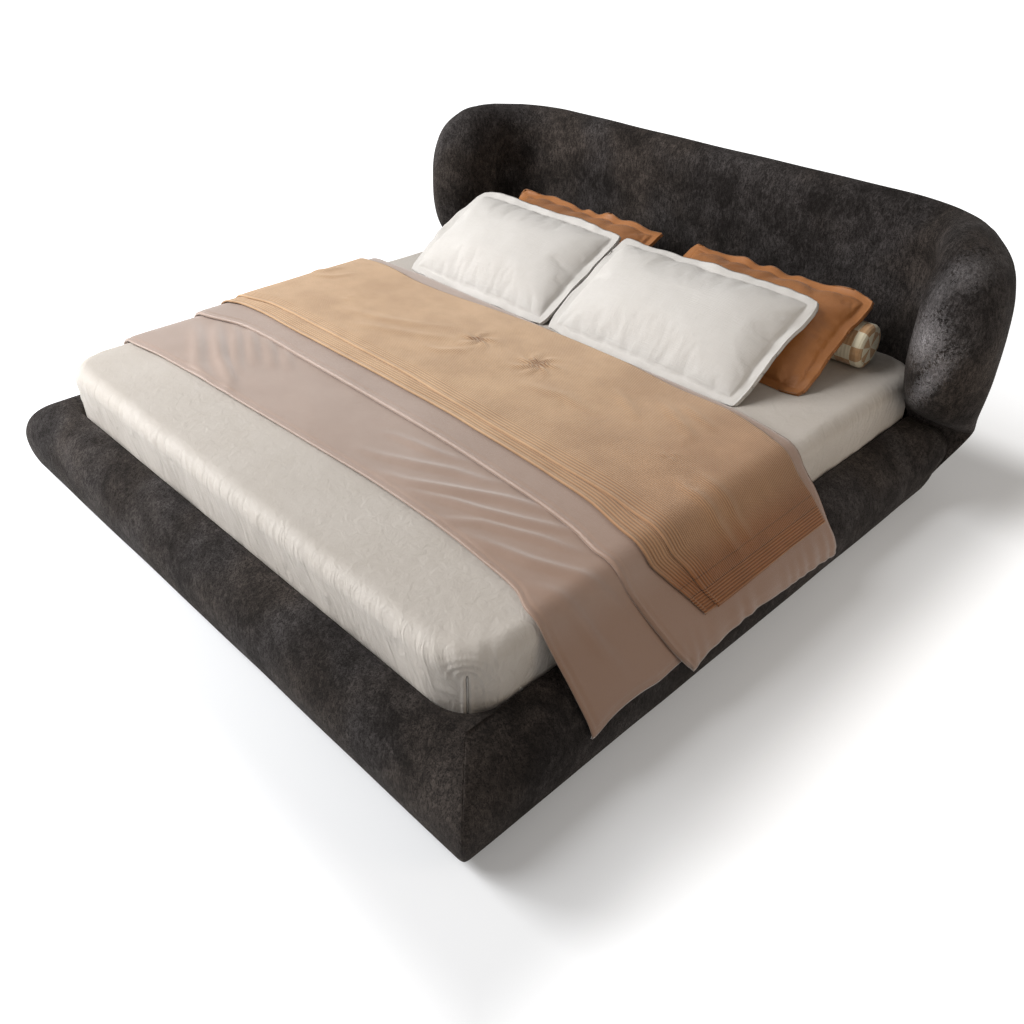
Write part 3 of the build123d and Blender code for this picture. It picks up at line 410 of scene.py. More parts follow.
def knit():
    """Ribbed knit: fine cords along the throw's length, a band of wider cords beside its long
    edges, and a border whose cords run along each short hem, with stitches across every cord.
    Painted shade darkens the yarn inside the two pinched places, where the folds gather."""
    tint = (1, 0.84, 0.68, 1)
    f = Finish("throw_knit", Sheen_Weight=0.5, Sheen_Roughness=0.55, Sheen_Tint=tint, Specular_IOR_Level=0.15)
    where = f.place("UV")
    girth, along, _ = f.split(where)
    from_middle = f.size(girth)
    fine = f.wave(where, RIB_WAVE / FINE_CORD, "Y")
    coarse = f.wave(where, RIB_WAVE / WIDE_CORD, "Y")
    hem = f.wave(where, RIB_WAVE / HEM_CORD, "X")
    band = f.near(along, 0.02, 0.036) + f.near(along, THROW_LENGTH, 0.05)
    border = f.stretch(from_middle, HEM_SEAM, HEM_SEAM + 0.002, False)
    rib = fine * (1 - band) + coarse * band
    rib = rib * (1 - border) + hem * border
    stitch = f.noise(f.place("UV", stretch=(1, 0.5, 1)), 330, 1)
    soft = f.stretch(f.noise(where, 5.5, 4, 0.6), 0.3, 0.7)
    # Painted shade: the seam and frame lines inside each hem are darkened as well as grooved
    seam = 1 - f.stretch(f.size(from_middle - HEM_SEAM), 0.0, 0.003)
    frame_line = 1 - f.stretch(f.size(from_middle - HEM_LINE), 0.0, 0.003)
    shade_breakup = f.noise(where, 46, 4, 0.7, 0.8)
    # Painted shade: the yarn is darkened inside each pinched place, where its folds gather
    pinch = 0.0
    for across, far, reach in PINCH_SHADES:
        point = (across, THROW_LENGTH - far, 0)
        away = f.node("ShaderNodeVectorMath", {"operation": "DISTANCE"}, {0: where, 1: point}, "Value")
        pinch = pinch + (1 - f.stretch(away * (1 / reach) + (shade_breakup - 0.5) * 1.6, 0.1, 1.1))
    share = rib * 0.48 + soft * 0.2 + stitch * 0.16 + 0.08
    share = share - seam * 0.4 - frame_line * 0.3 - pinch * 0.42
    # Painted shade: each pair's second colour is for where the throw hangs down and towards the right
    return f.feed(
        Base_Color=f.mix(
            f.stretch(share, 0.0, 1.0, False),
            f.mix(f.painted_shade_share(), (0.17, 0.075, 0.03), (0.066, 0.019, 0.004)),
            f.mix(f.painted_shade_share(), (0.71, 0.485, 0.295), (0.33, 0.12, 0.036)),
        ),
        Roughness=0.92 - rib * 0.12,
        Normal=f.bump(rib + stitch * 0.35 - seam * 0.6 - frame_line * 0.5, 0.0013),
    )


def checked_cotton():
    """The bolster's cover: a plain check of tan blocks on cream, with stitched lines."""
    f = Finish("bolster_print", Sheen_Weight=0.2, Specular_IOR_Level=0.25)
    where = f.place("UV")
    values = {"Vector": where, "Scale": 1 / 0.052, "Color1": (0, 0, 0, 1), "Color2": (1, 1, 1, 1)}
    blocks = f.node("ShaderNodeTexChecker", {}, values, "Fac")
    wobble = f.noise(where, 60, 2)
    lines = f.wave(where, 26, "X")
    base = f.mix(blocks * (wobble * 0.3 + 0.7), (0.72, 0.66, 0.5), (0.42, 0.22, 0.09))
    return f.feed(Base_Color=base, Roughness=0.8 + wobble * 0.1, Normal=f.bump(lines + wobble, 0.0006))


def timber(name, light, dark, along):
    """Sawn wood: grain stretched along one axis, with growth bands."""
    f = Finish(name, Specular_IOR_Level=0.3)
    squeeze = [1.0, 1.0, 1.0]
    squeeze[along] = 0.06
    grain = f.noise(f.place(stretch=squeeze), 90, 4, 0.65, 0.6)
    bands = f.noise(f.place(stretch=squeeze), 18, 2, 0.5, 1.2)
    share = f.stretch(grain * 0.5 + bands * 0.5, 0.35, 0.65)
    base = f.mix(share, dark, light)
    return f.feed(Base_Color=base, Roughness=0.55 + grain * 0.2, Normal=f.bump(grain, 0.0004))


def speckled(name, colour, other, roughness, scale, metal=0.0, depth=0.0002):
    """Moulded plastic, coated steel, foam or wadding: a fine grain over one colour."""
    f = Finish(name, Metallic=metal, Specular_IOR_Level=0.4)
    grain = f.noise(f.place(), scale, 3)
    base = f.mix(f.stretch(grain, 0.35, 0.65), other, colour)
    return f.feed(Base_Color=base, Roughness=roughness + (grain - 0.5) * 0.2, Normal=f.bump(grain, depth))


# A wave texture's bands repeat every 2 pi / (20 x scale)
RIB_WAVE = np.pi / 10
# The throw's length, the widths of its cords and the girths of the lines inside its hems
THROW_LENGTH = 1.16
FINE_CORD, WIDE_CORD, HEM_CORD = 0.0066, 0.0098, 0.0085
HEM_LINE, HEM_SEAM = 1.062, 1.098
# Painted shade in the throw's pinched places: girth, distance in from its turned edge, reach
PINCH_SHADES = ((-0.094, 0.319, 0.034), (0.159, 0.345, 0.045))
# Where the fitted sheet's corner slits end
SEAM_TOP = 0.366

VELVET = velvet("velvet", 1)
# The right wing's painted sheen: silvery patches where its brushed pile catches the light
SHEEN_PATCHES = (
    ((1.04, 0.76, 0.63), (0.06, 0.2, 0.085), (0.0, 0.25, 0.0), 1.0),
    ((1.085, 0.76, 0.52), (0.03, 0.2, 0.13), (0.0, 0.42, 0.0), 0.8),
    ((1.03, 0.78, 0.76), (0.035, 0.2, 0.08), (0.0, 0.2, 0.0), 0.3),
    ((1.09, 0.8, 0.83), (0.05, 0.2, 0.05), (0.0, 0.6, 0.0), 0.4),
)
HEADBOARD_VELVET = velvet("headboard_velvet", 2, SHEEN_PATCHES)
SHEET = sateen()
# Its last colour triple is painted shade, for where the duvet hangs down and towards the right
DUVET = cloth(
    "duvet_satin",
    (0.37, 0.272, 0.222),
    (0.29, 0.203, 0.158),
    roughness=0.4,
    thread=800,
    sheen=0.7,
    weave=0.5,
    shade_tint=(0.62, 0.47, 0.35),
)
LINEN = cloth("white_linen", (0.63, 0.61, 0.585), (0.56, 0.538, 0.508), 0.8, 420, sheen=0.12, weave=1.4)
TAN = cloth("tan_satin", (0.38, 0.155, 0.047), (0.28, 0.104, 0.028), 0.36, 700, sheen=0.12, weave=0.5)
TICKING = cloth("ticking", (0.8, 0.79, 0.75), (0.7, 0.69, 0.66), 0.8, 500)
KNIT = knit()
CHECK = checked_cotton()

# Hidden pieces' materials by slot: colour, other colour, roughness, grain, metal, relief
GRAINED = {
    "foam": ((0.8, 0.75, 0.58), (0.7, 0.64, 0.48), 0.95, 420, 0.0, 0.001),
    "filling": ((0.86, 0.86, 0.84), (0.76, 0.76, 0.75), 0.95, 180, 0.0, 0.002),
    "spring_core": ((0.5, 0.5, 0.48), (0.36, 0.36, 0.35), 0.7, 240, 0.0, 0.001),
    "holder_plastic": ((0.02, 0.02, 0.02), (0.012, 0.012, 0.012), 0.5, 900),
    "bracket_steel": ((0.03, 0.03, 0.032), (0.02, 0.02, 0.022), 0.45, 600, 0.3),
    "zinc_fasteners": ((0.55, 0.55, 0.53), (0.42, 0.42, 0.4), 0.3, 700, 1.0),
    "leg_steel": ((0.02, 0.02, 0.021), (0.013, 0.013, 0.014), 0.42, 600, 0.3),
    "foot_plastic": ((0.03, 0.03, 0.03), (0.02, 0.02, 0.02), 0.5, 900),
    "insert_plastic": ((0.03, 0.03, 0.03), (0.02, 0.02, 0.02), 0.5, 900),
    "glide_plastic": ((0.015, 0.015, 0.015), (0.01, 0.01, 0.01), 0.6, 900),
}
# Wood: light colour, dark colour and the axis that the grain runs along
WOODEN = {
    "timber": ((0.5, 0.32, 0.17), (0.34, 0.19, 0.09), 1),
    "plywood": ((0.56, 0.39, 0.22), (0.42, 0.27, 0.14), 0),
    "slat_birch": ((0.66, 0.48, 0.28), (0.52, 0.35, 0.19), 0),
}
STILL = {"ticking": TICKING}
STILL.update({name: speckled(name, *row) for name, row in GRAINED.items()})
STILL.update({name: timber(name, *row) for name, row in WOODEN.items()})

for part in frame["record"]["subparts"]:
    finish = STILL.get(part["material_slot"])
    if finish:
        mesh = frame["nodes"][part["node"]].data
        mesh.materials.clear()
        mesh.materials.append(finish)


# Headboard: level sections of a padded shell whose thick ends wrap round the mattress. The
# tables give shares, level by level, of the spans below
SHELL_HEIGHTS = (0, 0.119, 0.238, 0.292, 0.335, 0.375, 0.43, 0.544, 0.702, 0.827, 0.912, 0.96, 0.989, 1)
SHELL_WIDTHS = (0.467, 0.63, 0.807, 0.878, 0.914, 0.939, 0.97, 1, 0.98, 0.919, 0.797, 0.63, 0.477, 0.355)
SHELL_CORNERS = (0, 0, 0, 0, 0.5, 0.85, 1, 1, 1, 1, 1, 1, 1, 1)
SHELL_CAPS = (0, 0, 0, 0, 0.18, 0.44, 0.72, 0.96, 1, 0.92, 0.74, 0.52, 0.28, 0.06)
SHELL_CREASES = (1, 1, 1, 1, 0.95, 0.85, 0.6, 0.13, 0, 0, 0, 0, 0, 0)
SHELL_TUCKS = (0.95, 0.36, 0.08, 0, 0, 0, 0, 0, 0, 0, 0.03, 0.1, 0.17, 0.23)
SHELL_ROUNDS = (0, 0, 0, 0, 0, 0, 0, 0, 0, 0, 0.09, 0.3, 0.65, 1)
CREASE_X, CREASE_SPAN = 0.945, 0.023
OUTER_SPAN = 0.261
CORNER_RADIUS, CORNER_SPAN = 0.085, 0.057
CAP_REACH, CAP_SPAN = 0.012, 0.168
ROUND_SPAN = 0.046
TUCK_SPAN = 0.06
HEADBOARD_FACE = 1.0175
HEADBOARD_BACK = 1.1515
HEADBOARD_BOTTOM = 0.020
HEADBOARD_TOP = 0.903


def quarter(start, end, steps, bulge_first):
    """A quarter ellipse between two points, leaving the first along y when bulge_first is true
    and along x otherwise; each point is an array over the levels."""
    angle = np.linspace(0, np.pi / 2, steps)[None, :]
    one, two = (1 - np.cos(angle), np.sin(angle)) if bulge_first else (np.sin(angle), 1 - np.cos(angle))
    x = start[0][:, None] + (end[0] - start[0])[:, None] * one
    y = start[1][:, None] + (end[1] - start[1])[:, None] * two
    return x, y


def line(start, end, steps):
    """Evenly spaced points between two points of each level."""
    share = np.linspace(0, 1, steps)[None, :]
    return tuple(a[:, None] + (b - a)[:, None] * share for a, b in zip(start, end))


def joined(curves):
    """Curves of each level end to end, as a grid of x and y without their shared points."""
    x, y = (np.concatenate([c[k][:, 1 if i else 0 :] for i, c in enumerate(curves)], 1) for k in (0, 1))
    return np.stack([x, y], -1)


def headboard_shell():
    """The shell as one closed surface. At each level the front line runs from the left end's
    peak along the crease and face to the right end's peak, the back line runs round behind it,
    and the two have as many points, so that the top and bottom close as ladders between them,
    the top after a few rings that rise towards its middle line."""
    low = np.linspace(0, 0.9, 66)
    high = 0.9 + 0.1 * np.sin(np.linspace(0, np.pi / 2, 26))
    t = np.concatenate([low, high[1:]])
    read = lambda span, table: span * smooth_table(t, SHELL_HEIGHTS, table)
    z = HEADBOARD_BOTTOM + t * (HEADBOARD_TOP - HEADBOARD_BOTTOM)
    inward = read(ROUND_SPAN, SHELL_ROUNDS)
    outer_x = CREASE_X + read(OUTER_SPAN, SHELL_WIDTHS)
    radius = CORNER_RADIUS + read(CORNER_SPAN, SHELL_CORNERS)
    projection = CAP_REACH + read(CAP_SPAN, SHELL_CAPS)
    crease_x = CREASE_X + read(CREASE_SPAN, SHELL_CREASES) + inward
    face = HEADBOARD_FACE + inward
    back = HEADBOARD_BACK - read(TUCK_SPAN, SHELL_TUCKS) - inward
    seam = HEADBOARD_FACE - radius
    front = seam - projection
    peak_x = crease_x + 0.58 * (outer_x - crease_x)
    shoulder = front + 0.75 * (seam - front)
    corner_x = outer_x - 0.4 + read(0.1, SHELL_ROUNDS)
    bow = radius + inward
    zero = np.zeros_like(t)
    front_line = joined([
        line((zero, face), (crease_x - bow, face), 50),
        quarter((crease_x - bow, face), (crease_x, seam), 22, False),
        quarter((crease_x, seam), (peak_x, front), 30, True),
    ])
    back_line = joined([
        line((zero, back), (corner_x, back), 44),
        quarter((corner_x, back), (outer_x, shoulder), 34, False),
        quarter((outer_x, shoulder), (peak_x, front), 24, True),
    ])
    half = np.concatenate([front_line, back_line[:, -2::-1]], 1)
    other = half[:, -2:0:-1] * np.array([-1, 1])
    loop = np.concatenate([half, other], 1)
    points = raised(loop, z)
    padded = np.concatenate([points[:, -1:], points, points[:, :1]], 1)
    normal = -grid_normals(padded)[:, 1:-1]
    # A groove along the crease, and the foam's slow swell
    edge = np.hypot(np.abs(points[..., 0]) - crease_x[:, None], points[..., 1] - seam[:, None])
    in_front = points[..., 1] < HEADBOARD_FACE + 0.02
    above = smooth_table(z, (0.24, 0.34, 0.76, 0.85, 0.903), (0, 1, 1, 0, 0))[:, None]
    groove = -0.011 * bell(edge, 0.009) + 0.005 * bell(edge - 0.045, 0.03)
    swell = 0.0025 * rough_noise(points, 0.35, 11, 2)
    move = (groove * in_front * above + swell)[..., None] * normal
    points = points + move
    # Towards the top the hollow between face and end fills up, by averaging along each level
    filled = smooth_table(z, (0.74, 0.85, 0.903), (0, 1, 1))[:, None]
    filled = filled * np.clip((peak_x[:, None] - np.abs(points[..., 0])) / 0.03, 0, 1)
    filled = filled * np.clip((HEADBOARD_FACE + 0.01 - points[..., 1]) / 0.01, 0, 1)
    for _ in range(160):
        mean = (np.roll(points, 1, 1) + np.roll(points, -1, 1)) / 2
        points = points + 0.5 * filled[..., None] * (mean - points)
    # Rings domed towards the middle line, then the ladders
    middle = front_line.shape[1] - 1
    cols = points.shape[1]
    top = points[-1]
    across = (top[(2 * middle - np.arange(cols)) % cols] - top) / 2
    rise = 0.2 * np.linalg.norm(across, axis=-1)[:, None] * np.array([0, 0, 1])
    for share in (0.15, 0.35, 0.6, 0.85):
        ring = top + across * share + rise * (1 - (1 - share) ** 2)
        points = np.concatenate([points, ring[None]])
    rows = points.shape[0]
    faces = grid_quads(rows, cols, True)
    ladder = []
    for row, turn in ((0, -1), (rows - 1, 1)):
        first = np.arange(middle)
        a = row * cols + first
        b = row * cols + first + 1
        c = row * cols + (2 * middle - first - 1)
        d = row * cols + (2 * middle - first)
        right = np.stack([a, b, c, d], -1)[:, ::turn]
        flip = lambda k: row * cols + (cols - (k - row * cols)) % cols
        left = flip(right)[:, ::-1]
        ladder += [right, left]
    faces = np.concatenate([faces] + ladder).tolist()
    faces = [list(dict.fromkeys(f)) for f in faces]
    return points, [f for f in faces if len(f) > 2]


points, faces = headboard_shell()
headboard = new_piece("headboard_upholstery", points, faces)
soft_parts = ("headboard_cover", "headboard_cap", "headboard_pad")
dress(headboard, HEADBOARD_VELVET, [n for n in frame["nodes"] if n.startswith(soft_parts)])


# Rails: one bullnose profile carried round the foot of the bed
def rail_profile():
    """The profile as distance out from the inner face and height: up the inner face, over the
    crown arc, down the belly arc, under the bottom and back up inside."""
    top = RAIL_WIDEST + np.sqrt(RAIL_CROWN**2 - (RAIL_CROWN - RAIL_DEPTH) ** 2)
    small = 0.008
    inner_round = arc((small, top - small), small, np.radians(np.linspace(180, 82, 7)))
    crown = arc((RAIL_DEPTH - RAIL_CROWN, RAIL_WIDEST), RAIL_CROWN, np.radians(np.linspace(79, 0, 26)))
    belly = arc((RAIL_DEPTH - RAIL_BELLY, RAIL_WIDEST), RAIL_BELLY, np.radians(np.linspace(-1, -19.5, 12)))
    under = [(0.1085, 0.031), (0.103, 0.0245), (0.095, 0.0208), (0.085, 0.02), (0.04, 0.02), (0.0035, 0.02)]
    inner = [(0.0035, 0.1), (0.0035, 0.2049), (0.0, 0.205), (0.0, 0.24)]
    return np.concatenate([inner_round, crown, belly, under, inner])


def rail_run(profile):
    """The profile carried down the left side, round the foot and up the right side: at each
    corner the offset lines meet in a small arc. Returns the grid and its two mitre columns."""
    out = profile[:, 0][:, None]
    tip = np.minimum(0.018, 0.6 * out + 0.002)
    along_side, round_corner, along_foot = 70, 9, 40
    side = np.linspace(0, 1, along_side)[None, :]
    turn = np.radians(np.linspace(180, 270, round_corner))[None, :]
    half = np.linspace(0, 1, along_foot)[None, :]
    cx = -RAIL_INNER_X - out + tip
    cy = RAIL_INNER_Y - out + tip
    left_x, left_y = -RAIL_INNER_X - out + 0 * side, RAIL_HEAD_END + (cy - RAIL_HEAD_END) * side
    corner_x, corner_y = cx + tip * np.cos(turn), cy + tip * np.sin(turn)
    foot_x, foot_y = cx * (1 - half), RAIL_INNER_Y - out + 0 * half
    x = np.concatenate([left_x, corner_x[:, 1:], foot_x[:, 1:]], 1)
    y = np.concatenate([left_y, corner_y[:, 1:], foot_y[:, 1:]], 1)
    x = np.concatenate([x, -x[:, -2::-1]], 1)
    y = np.concatenate([y, y[:, -2::-1]], 1)
    z = np.broadcast_to(profile[:, 1][:, None], x.shape)
    mitre = along_side - 1 + round_corner // 2
    return np.stack([x, y, z], -1), (mitre, x.shape[1] - 1 - mitre)


profile = rail_profile()
run, mitres = rail_run(profile)
# The side rails flare out under the headboard's wings
near = np.clip((run[..., 1] - RAIL_HEAD_END + 0.17) / 0.17, 0, 1)
near = near * near * (3 - 2 * near)
flare = smooth_table(run[..., 2], (0.02, 0.08, 0.125, 0.18, 0.24, 0.28), (0.0, 0.004, 0.01, 0.036, 0.07, 0.085))
flare = flare * near * (np.abs(run[..., 0]) > RAIL_INNER_X + 0.012)
run = run + np.stack([flare * np.sign(run[..., 0]), np.zeros_like(flare), np.zeros_like(flare)], -1)
looped = np.concatenate([run[-1:], run, run[:1]])
outward = grid_normals(looped)[1:-1]
# Their foam is a little uneven, and each mitre has a shallow seam
seam_gap = sum(bell(np.linalg.norm(run - run[:, m : m + 1], axis=-1), 0.006) for m in mitres)
soft = 0.0022 * rough_noise(run, 0.3, 21, 2) - 0.002 * seam_gap
soft = soft * smooth_table(run[..., 2], (0.02, 0.05, 0.2, 0.27, 0.28), (0, 1, 1, 0.6, 0.6))
soft = soft * (run[..., 2] > 0.022)
inner_side = (np.abs(run[..., 0]) < RAIL_INNER_X + 0.006) & (run[..., 1] > RAIL_INNER_Y - 0.006)
run = run + outward * np.where(inner_side, 0, soft)[..., None]
cuts = (0, mitres[0], mitres[1], run.shape[1] - 1)
for name, first, last in zip(("left", "foot", "right"), cuts, cuts[1:]):
    part = run[:, first : last + 1].transpose(1, 0, 2)
    rows, cols = part.shape[:2]
    faces = [f[::-1] for f in tube_faces(rows, cols)]
    rail = new_piece(f"rail_upholstery_{name}", part, faces)
    dress(rail, VELVET, [f"rail_cover_{name}", f"rail_pad_{name}"])


def corner_fill(side):
    """The upholstered fill between the rails and the mattress's rounded foot corner: from the
    corner's arc out to the rails' inner faces, crowned on top and closed below. Rows go up the
    mattress side, over the top and down by the rails; columns go round the arc."""
    turn = np.radians(np.linspace(-87, -3, 60))
    centre = np.array([MATTRESS_HALF_WIDTH - MATTRESS_CORNER, MATTRESS_FOOT + MATTRESS_CORNER])
    ray = np.stack([np.cos(turn), np.sin(turn)], -1)
    inner = centre + ray * (MATTRESS_CORNER + 0.003)
    wall = np.array([RAIL_INNER_X + 0.008, RAIL_INNER_Y - 0.008])
    to_side = (wall[0] - centre[0]) / np.maximum(ray[:, 0], 1e-6)
    to_foot = (wall[1] - centre[1]) / np.minimum(ray[:, 1], -1e-6)
    stretch = np.minimum(to_side, to_foot)
    outer = centre + ray * stretch[:, None]
    share = np.array([0, 0, 0, 0.02, 0.08, 0.2, 0.4, 0.6, 0.8, 0.95, 1, 1, 1])
    height = [0.206, 0.225, 0.247, 0.254, 0.259, 0.2635, 0.2675, 0.2705, 0.2728, 0.2738, 0.2738, 0.26, 0.206]
    flat = inner + (outer - inner) * share[:, None, None]
    grid = raised(flat, np.array(height)) * np.array([side, 1, 1])
    rows, cols = grid.shape[:2]
    faces = [list(f[:: side]) for f in grid_quads(rows, cols)]
    index = np.arange(rows * cols).reshape(rows, cols)
    faces += [[index[-1, k], index[-1, k + 1], index[0, k + 1], index[0, k]][:: side] for k in range(cols - 1)]
    faces += [list(index[:, 0])[:: -side], list(index[:, -1])[::side]]
    return grid, faces


(right_grid, right_faces), (left_grid, left_faces) = corner_fill(1), corner_fill(-1)
count = right_grid.size // 3
points = np.concatenate([right_grid.reshape(-1, 3), left_grid.reshape(-1, 3)])
faces = right_faces + [[k + count for k in f] for f in left_faces]
corner_pads = new_piece("rail_corner_fills", points, faces)
dress(corner_pads, VELVET, ["rail_corner_pads"])


# Mattress and fitted sheet
def rounded_loop(inset, corner):
    """Points round a rounded rectangle, drawn in from the mattress's outline by inset and
    closest at the middle of each corner; it starts at the middle of the right side."""
    half_x = MATTRESS_HALF_WIDTH - inset
    half_y = MATTRESS_LENGTH / 2 - inset
    radius = corner - inset
    t = np.linspace(-1, 1, 71)
    turn = np.pi / 4 * (1 + 0.3 * t + 0.7 * t**3)
    corners = []
    for k, (sx, sy) in enumerate(((1, 1), (-1, 1), (-1, -1), (1, -1))):
        corners.append(arc((sx * (half_x - radius), sy * (half_y - radius)), radius, np.pi / 2 * k + turn))
    share = np.linspace(0, 1, 80)[1:-1, None]
    path = []
    for this, following in zip(corners, corners[1:] + corners[:1]):
        path += [this, this[-1] + (following[0] - this[-1]) * share]
    return np.concatenate(path) + np.array([0, MATTRESS_MIDDLE])


def mattress_rings(low, turn_under):
    """Rings of the mattress surface, from under its bottom edge up its side, over the rounded
    edge and in across the top, where each ring is the edge's own shape made smaller. Returns the
    rings and their outward normals."""
    rows = []
    if turn_under:
        rows += [(0.05, low), (0.02, low), (0.006, low + 0.001), (0.0, low + 0.008)]
    rows += [(0.0, z) for z in np.linspace(low + 0.014, MATTRESS_TOP - MATTRESS_EDGE, 30)]
    turn = np.radians(np.linspace(0, 90, 18))[1:]
    edge_z = MATTRESS_TOP - MATTRESS_EDGE
    rows += [(MATTRESS_EDGE * (1 - np.cos(a)), edge_z + MATTRESS_EDGE * np.sin(a)) for a in turn]
    rings = np.array([np.insert(rounded_loop(d, MATTRESS_CORNER), 2, z, axis=1) for d, z in rows])
    centre = np.array([0, MATTRESS_MIDDLE, MATTRESS_TOP])
    smaller = [0.992, 0.984, 0.975, 0.965, 0.95, 0.93, 0.9, 0.86, 0.8, 0.72, 0.62, 0.5, 0.36, 0.2, 0.06, 0.005]
    top = centre + (rings[-1] - centre) * np.array(smaller)[:, None, None]
    rings = np.concatenate([rings, top])
    wrapped = np.concatenate([rings[:, -1:], rings, rings[:, :1]], 1)
    return rings, grid_normals(wrapped)[:, 1:-1]


def sheet_fullness(rings):
    """Small folds in the fitted sheet: upright ones that grow towards the bottom of the side and
    towards the head, a slit-like seam down each corner between two raised lips, and crescent
    gathers round the top of that seam."""
    upright = rings * np.array([1, 1, 0.12])
    side = smooth_table(rings[..., 2], (0.19, 0.24, 0.36, 0.415, 0.422), (0.8, 1.0, 0.6, 0.1, 0.0))
    to_head = 0.5 + 0.5 * np.clip(rings[..., 1] / 0.6, -0.4, 1)
    total = 0.0034 * side * rough_noise(upright, 0.06, 31, 2)
    total = total + 0.0024 * side * to_head * rough_noise(upright, 0.02, 33, 2)
    total = total + 0.0022 * rough_noise(rings * np.array([1, 1, 0.4]), 0.2, 35, 3)
    reach = MATTRESS_CORNER * (1 - np.sqrt(0.5))
    below = np.clip((SEAM_TOP - rings[..., 2]) / 0.01, 0, 1)
    for sx, sy in ((-1, -1), (-1, 1), (1, -1), (1, 1)):
        dx = rings[..., 0] - sx * (MATTRESS_HALF_WIDTH - reach)
        dy = rings[..., 1] - MATTRESS_MIDDLE - sy * (MATTRESS_LENGTH / 2 - reach)
        across = (dx * sy - dy * sx) / np.sqrt(2)
        inward = -(dx * sx + dy * sy) / np.sqrt(2)
        near = bell(np.hypot(dx, dy), 0.12)
        slit = -0.007 * bell(across, 0.0026) + 0.003 * bell(np.abs(across) - 0.008, 0.005)
        climb = np.maximum(rings[..., 2] - SEAM_TOP, 0) + np.maximum(inward - 0.02, 0) * 0.8
        away = np.hypot(across * 0.62, climb)
        arcs = np.sin(2 * np.pi * away / 0.0115) * bell(away - 0.02, 0.02) * bell(across, 0.055)
        fan = np.sin(11 * np.arctan2(np.abs(across), np.maximum(rings[..., 2] - 0.3, 0.001)))
        gathers = 0.0026 * arcs * (1 - below) + 0.0016 * fan * bell(np.abs(across) - 0.045, 0.03)
        total = total + (slit * below + gathers) * near
    return total


SHEET_THICK = 0.0012
# How far the ticking lies inside the sheet's outline
TICKING_IN = 0.003
rings, normal = mattress_rings(MATTRESS_BASE, False)
rings = rings - normal * TICKING_IN
faces = tube_faces(*rings.shape[:2])
mattress = new_piece("mattress", rings, faces, rings[..., :2] + rings[..., 2:3])
dress(mattress, TICKING, ["mattress_ticking"])

rings, normal = mattress_rings(MATTRESS_BASE + 0.0004, True)
rings = rings + normal * (SHEET_THICK + sheet_fullness(rings))[..., None]
# The map carries the top on down the sides, along the normals of a row of points on them
SIDE_ROW = 10
uv = rings[..., :2] + (MATTRESS_TOP - rings[..., 2:3]) * normal[SIDE_ROW, :, :2]
sheet = new_piece("fitted_sheet_cloth", rings, tube_faces(*rings.shape[:2], False), uv)
dress(sheet, SHEET, ["fitted_sheet"])
wall = sheet.modifiers.new("wall", "SOLIDIFY")
wall.thickness = SHEET_THICK
wall.offset = -1


# Cloths that lie over the mattress and hang over both side rails
EDGE_CENTRE = np.array([MATTRESS_HALF_WIDTH - MATTRESS_EDGE, MATTRESS_TOP - MATTRESS_EDGE])
CROWN_CENTRE = np.array([RAIL_INNER_X + RAIL_DEPTH - RAIL_CROWN, RAIL_WIDEST])
ACROSS = CROWN_CENTRE - EDGE_CENTRE
SPAN = np.hypot(*ACROSS)
SLOPE = np.arccos((MATTRESS_EDGE - RAIL_CROWN) / SPAN) - np.arctan2(-ACROSS[1], ACROSS[0])
FLAT_END = EDGE_CENTRE[0]
ROUND_END = FLAT_END + MATTRESS_EDGE * (np.pi / 2 - SLOPE)
RUN_END = ROUND_END + np.sqrt(SPAN**2 - (RAIL_CROWN - MATTRESS_EDGE) ** 2)


def drape(girth):
    """The line that a cloth follows across the bed, by its length from the middle: level, round
    the mattress's edge, straight to the rail and round the rail's crown. Returns x, z and the
    outward normal's x and z."""
    a = np.abs(girth)
    over_edge = np.pi / 2 - (a - FLAT_END) / MATTRESS_EDGE
    over_crown = SLOPE - (a - RUN_END) / RAIL_CROWN
    angle = np.select([a < FLAT_END, a < ROUND_END, a < RUN_END], [np.pi / 2, over_edge, SLOPE], over_crown)
    x = EDGE_CENTRE[0] + MATTRESS_EDGE * np.cos(angle)
    z = EDGE_CENTRE[1] + MATTRESS_EDGE * np.sin(angle)
    x = np.where(a < FLAT_END, a, x)
    straight = (a >= ROUND_END) & (a < RUN_END)
    x = np.where(straight, x + np.sin(SLOPE) * (a - ROUND_END), x)
    z = np.where(straight, z - np.cos(SLOPE) * (a - ROUND_END), z)
    crown = a >= RUN_END
    x = np.where(crown, CROWN_CENTRE[0] + RAIL_CROWN * np.cos(angle), x)
    z = np.where(crown, CROWN_CENTRE[1] + RAIL_CROWN * np.sin(angle), z)
    side = np.sign(girth)
    return x * side, z, np.cos(angle) * side, np.sin(angle)


def edge_table(places, values):
    """A cloth edge as a curve through listed pairs, in millimetres: girths from the middle and distances from
    the mattress's foot for an edge across the bed, the reverse for a hem. It goes on past the last pairs
    unchanged."""
    places, values = np.array(places) / 1000, np.array(values) / 1000
    return lambda at: smooth_table(at, places, values)


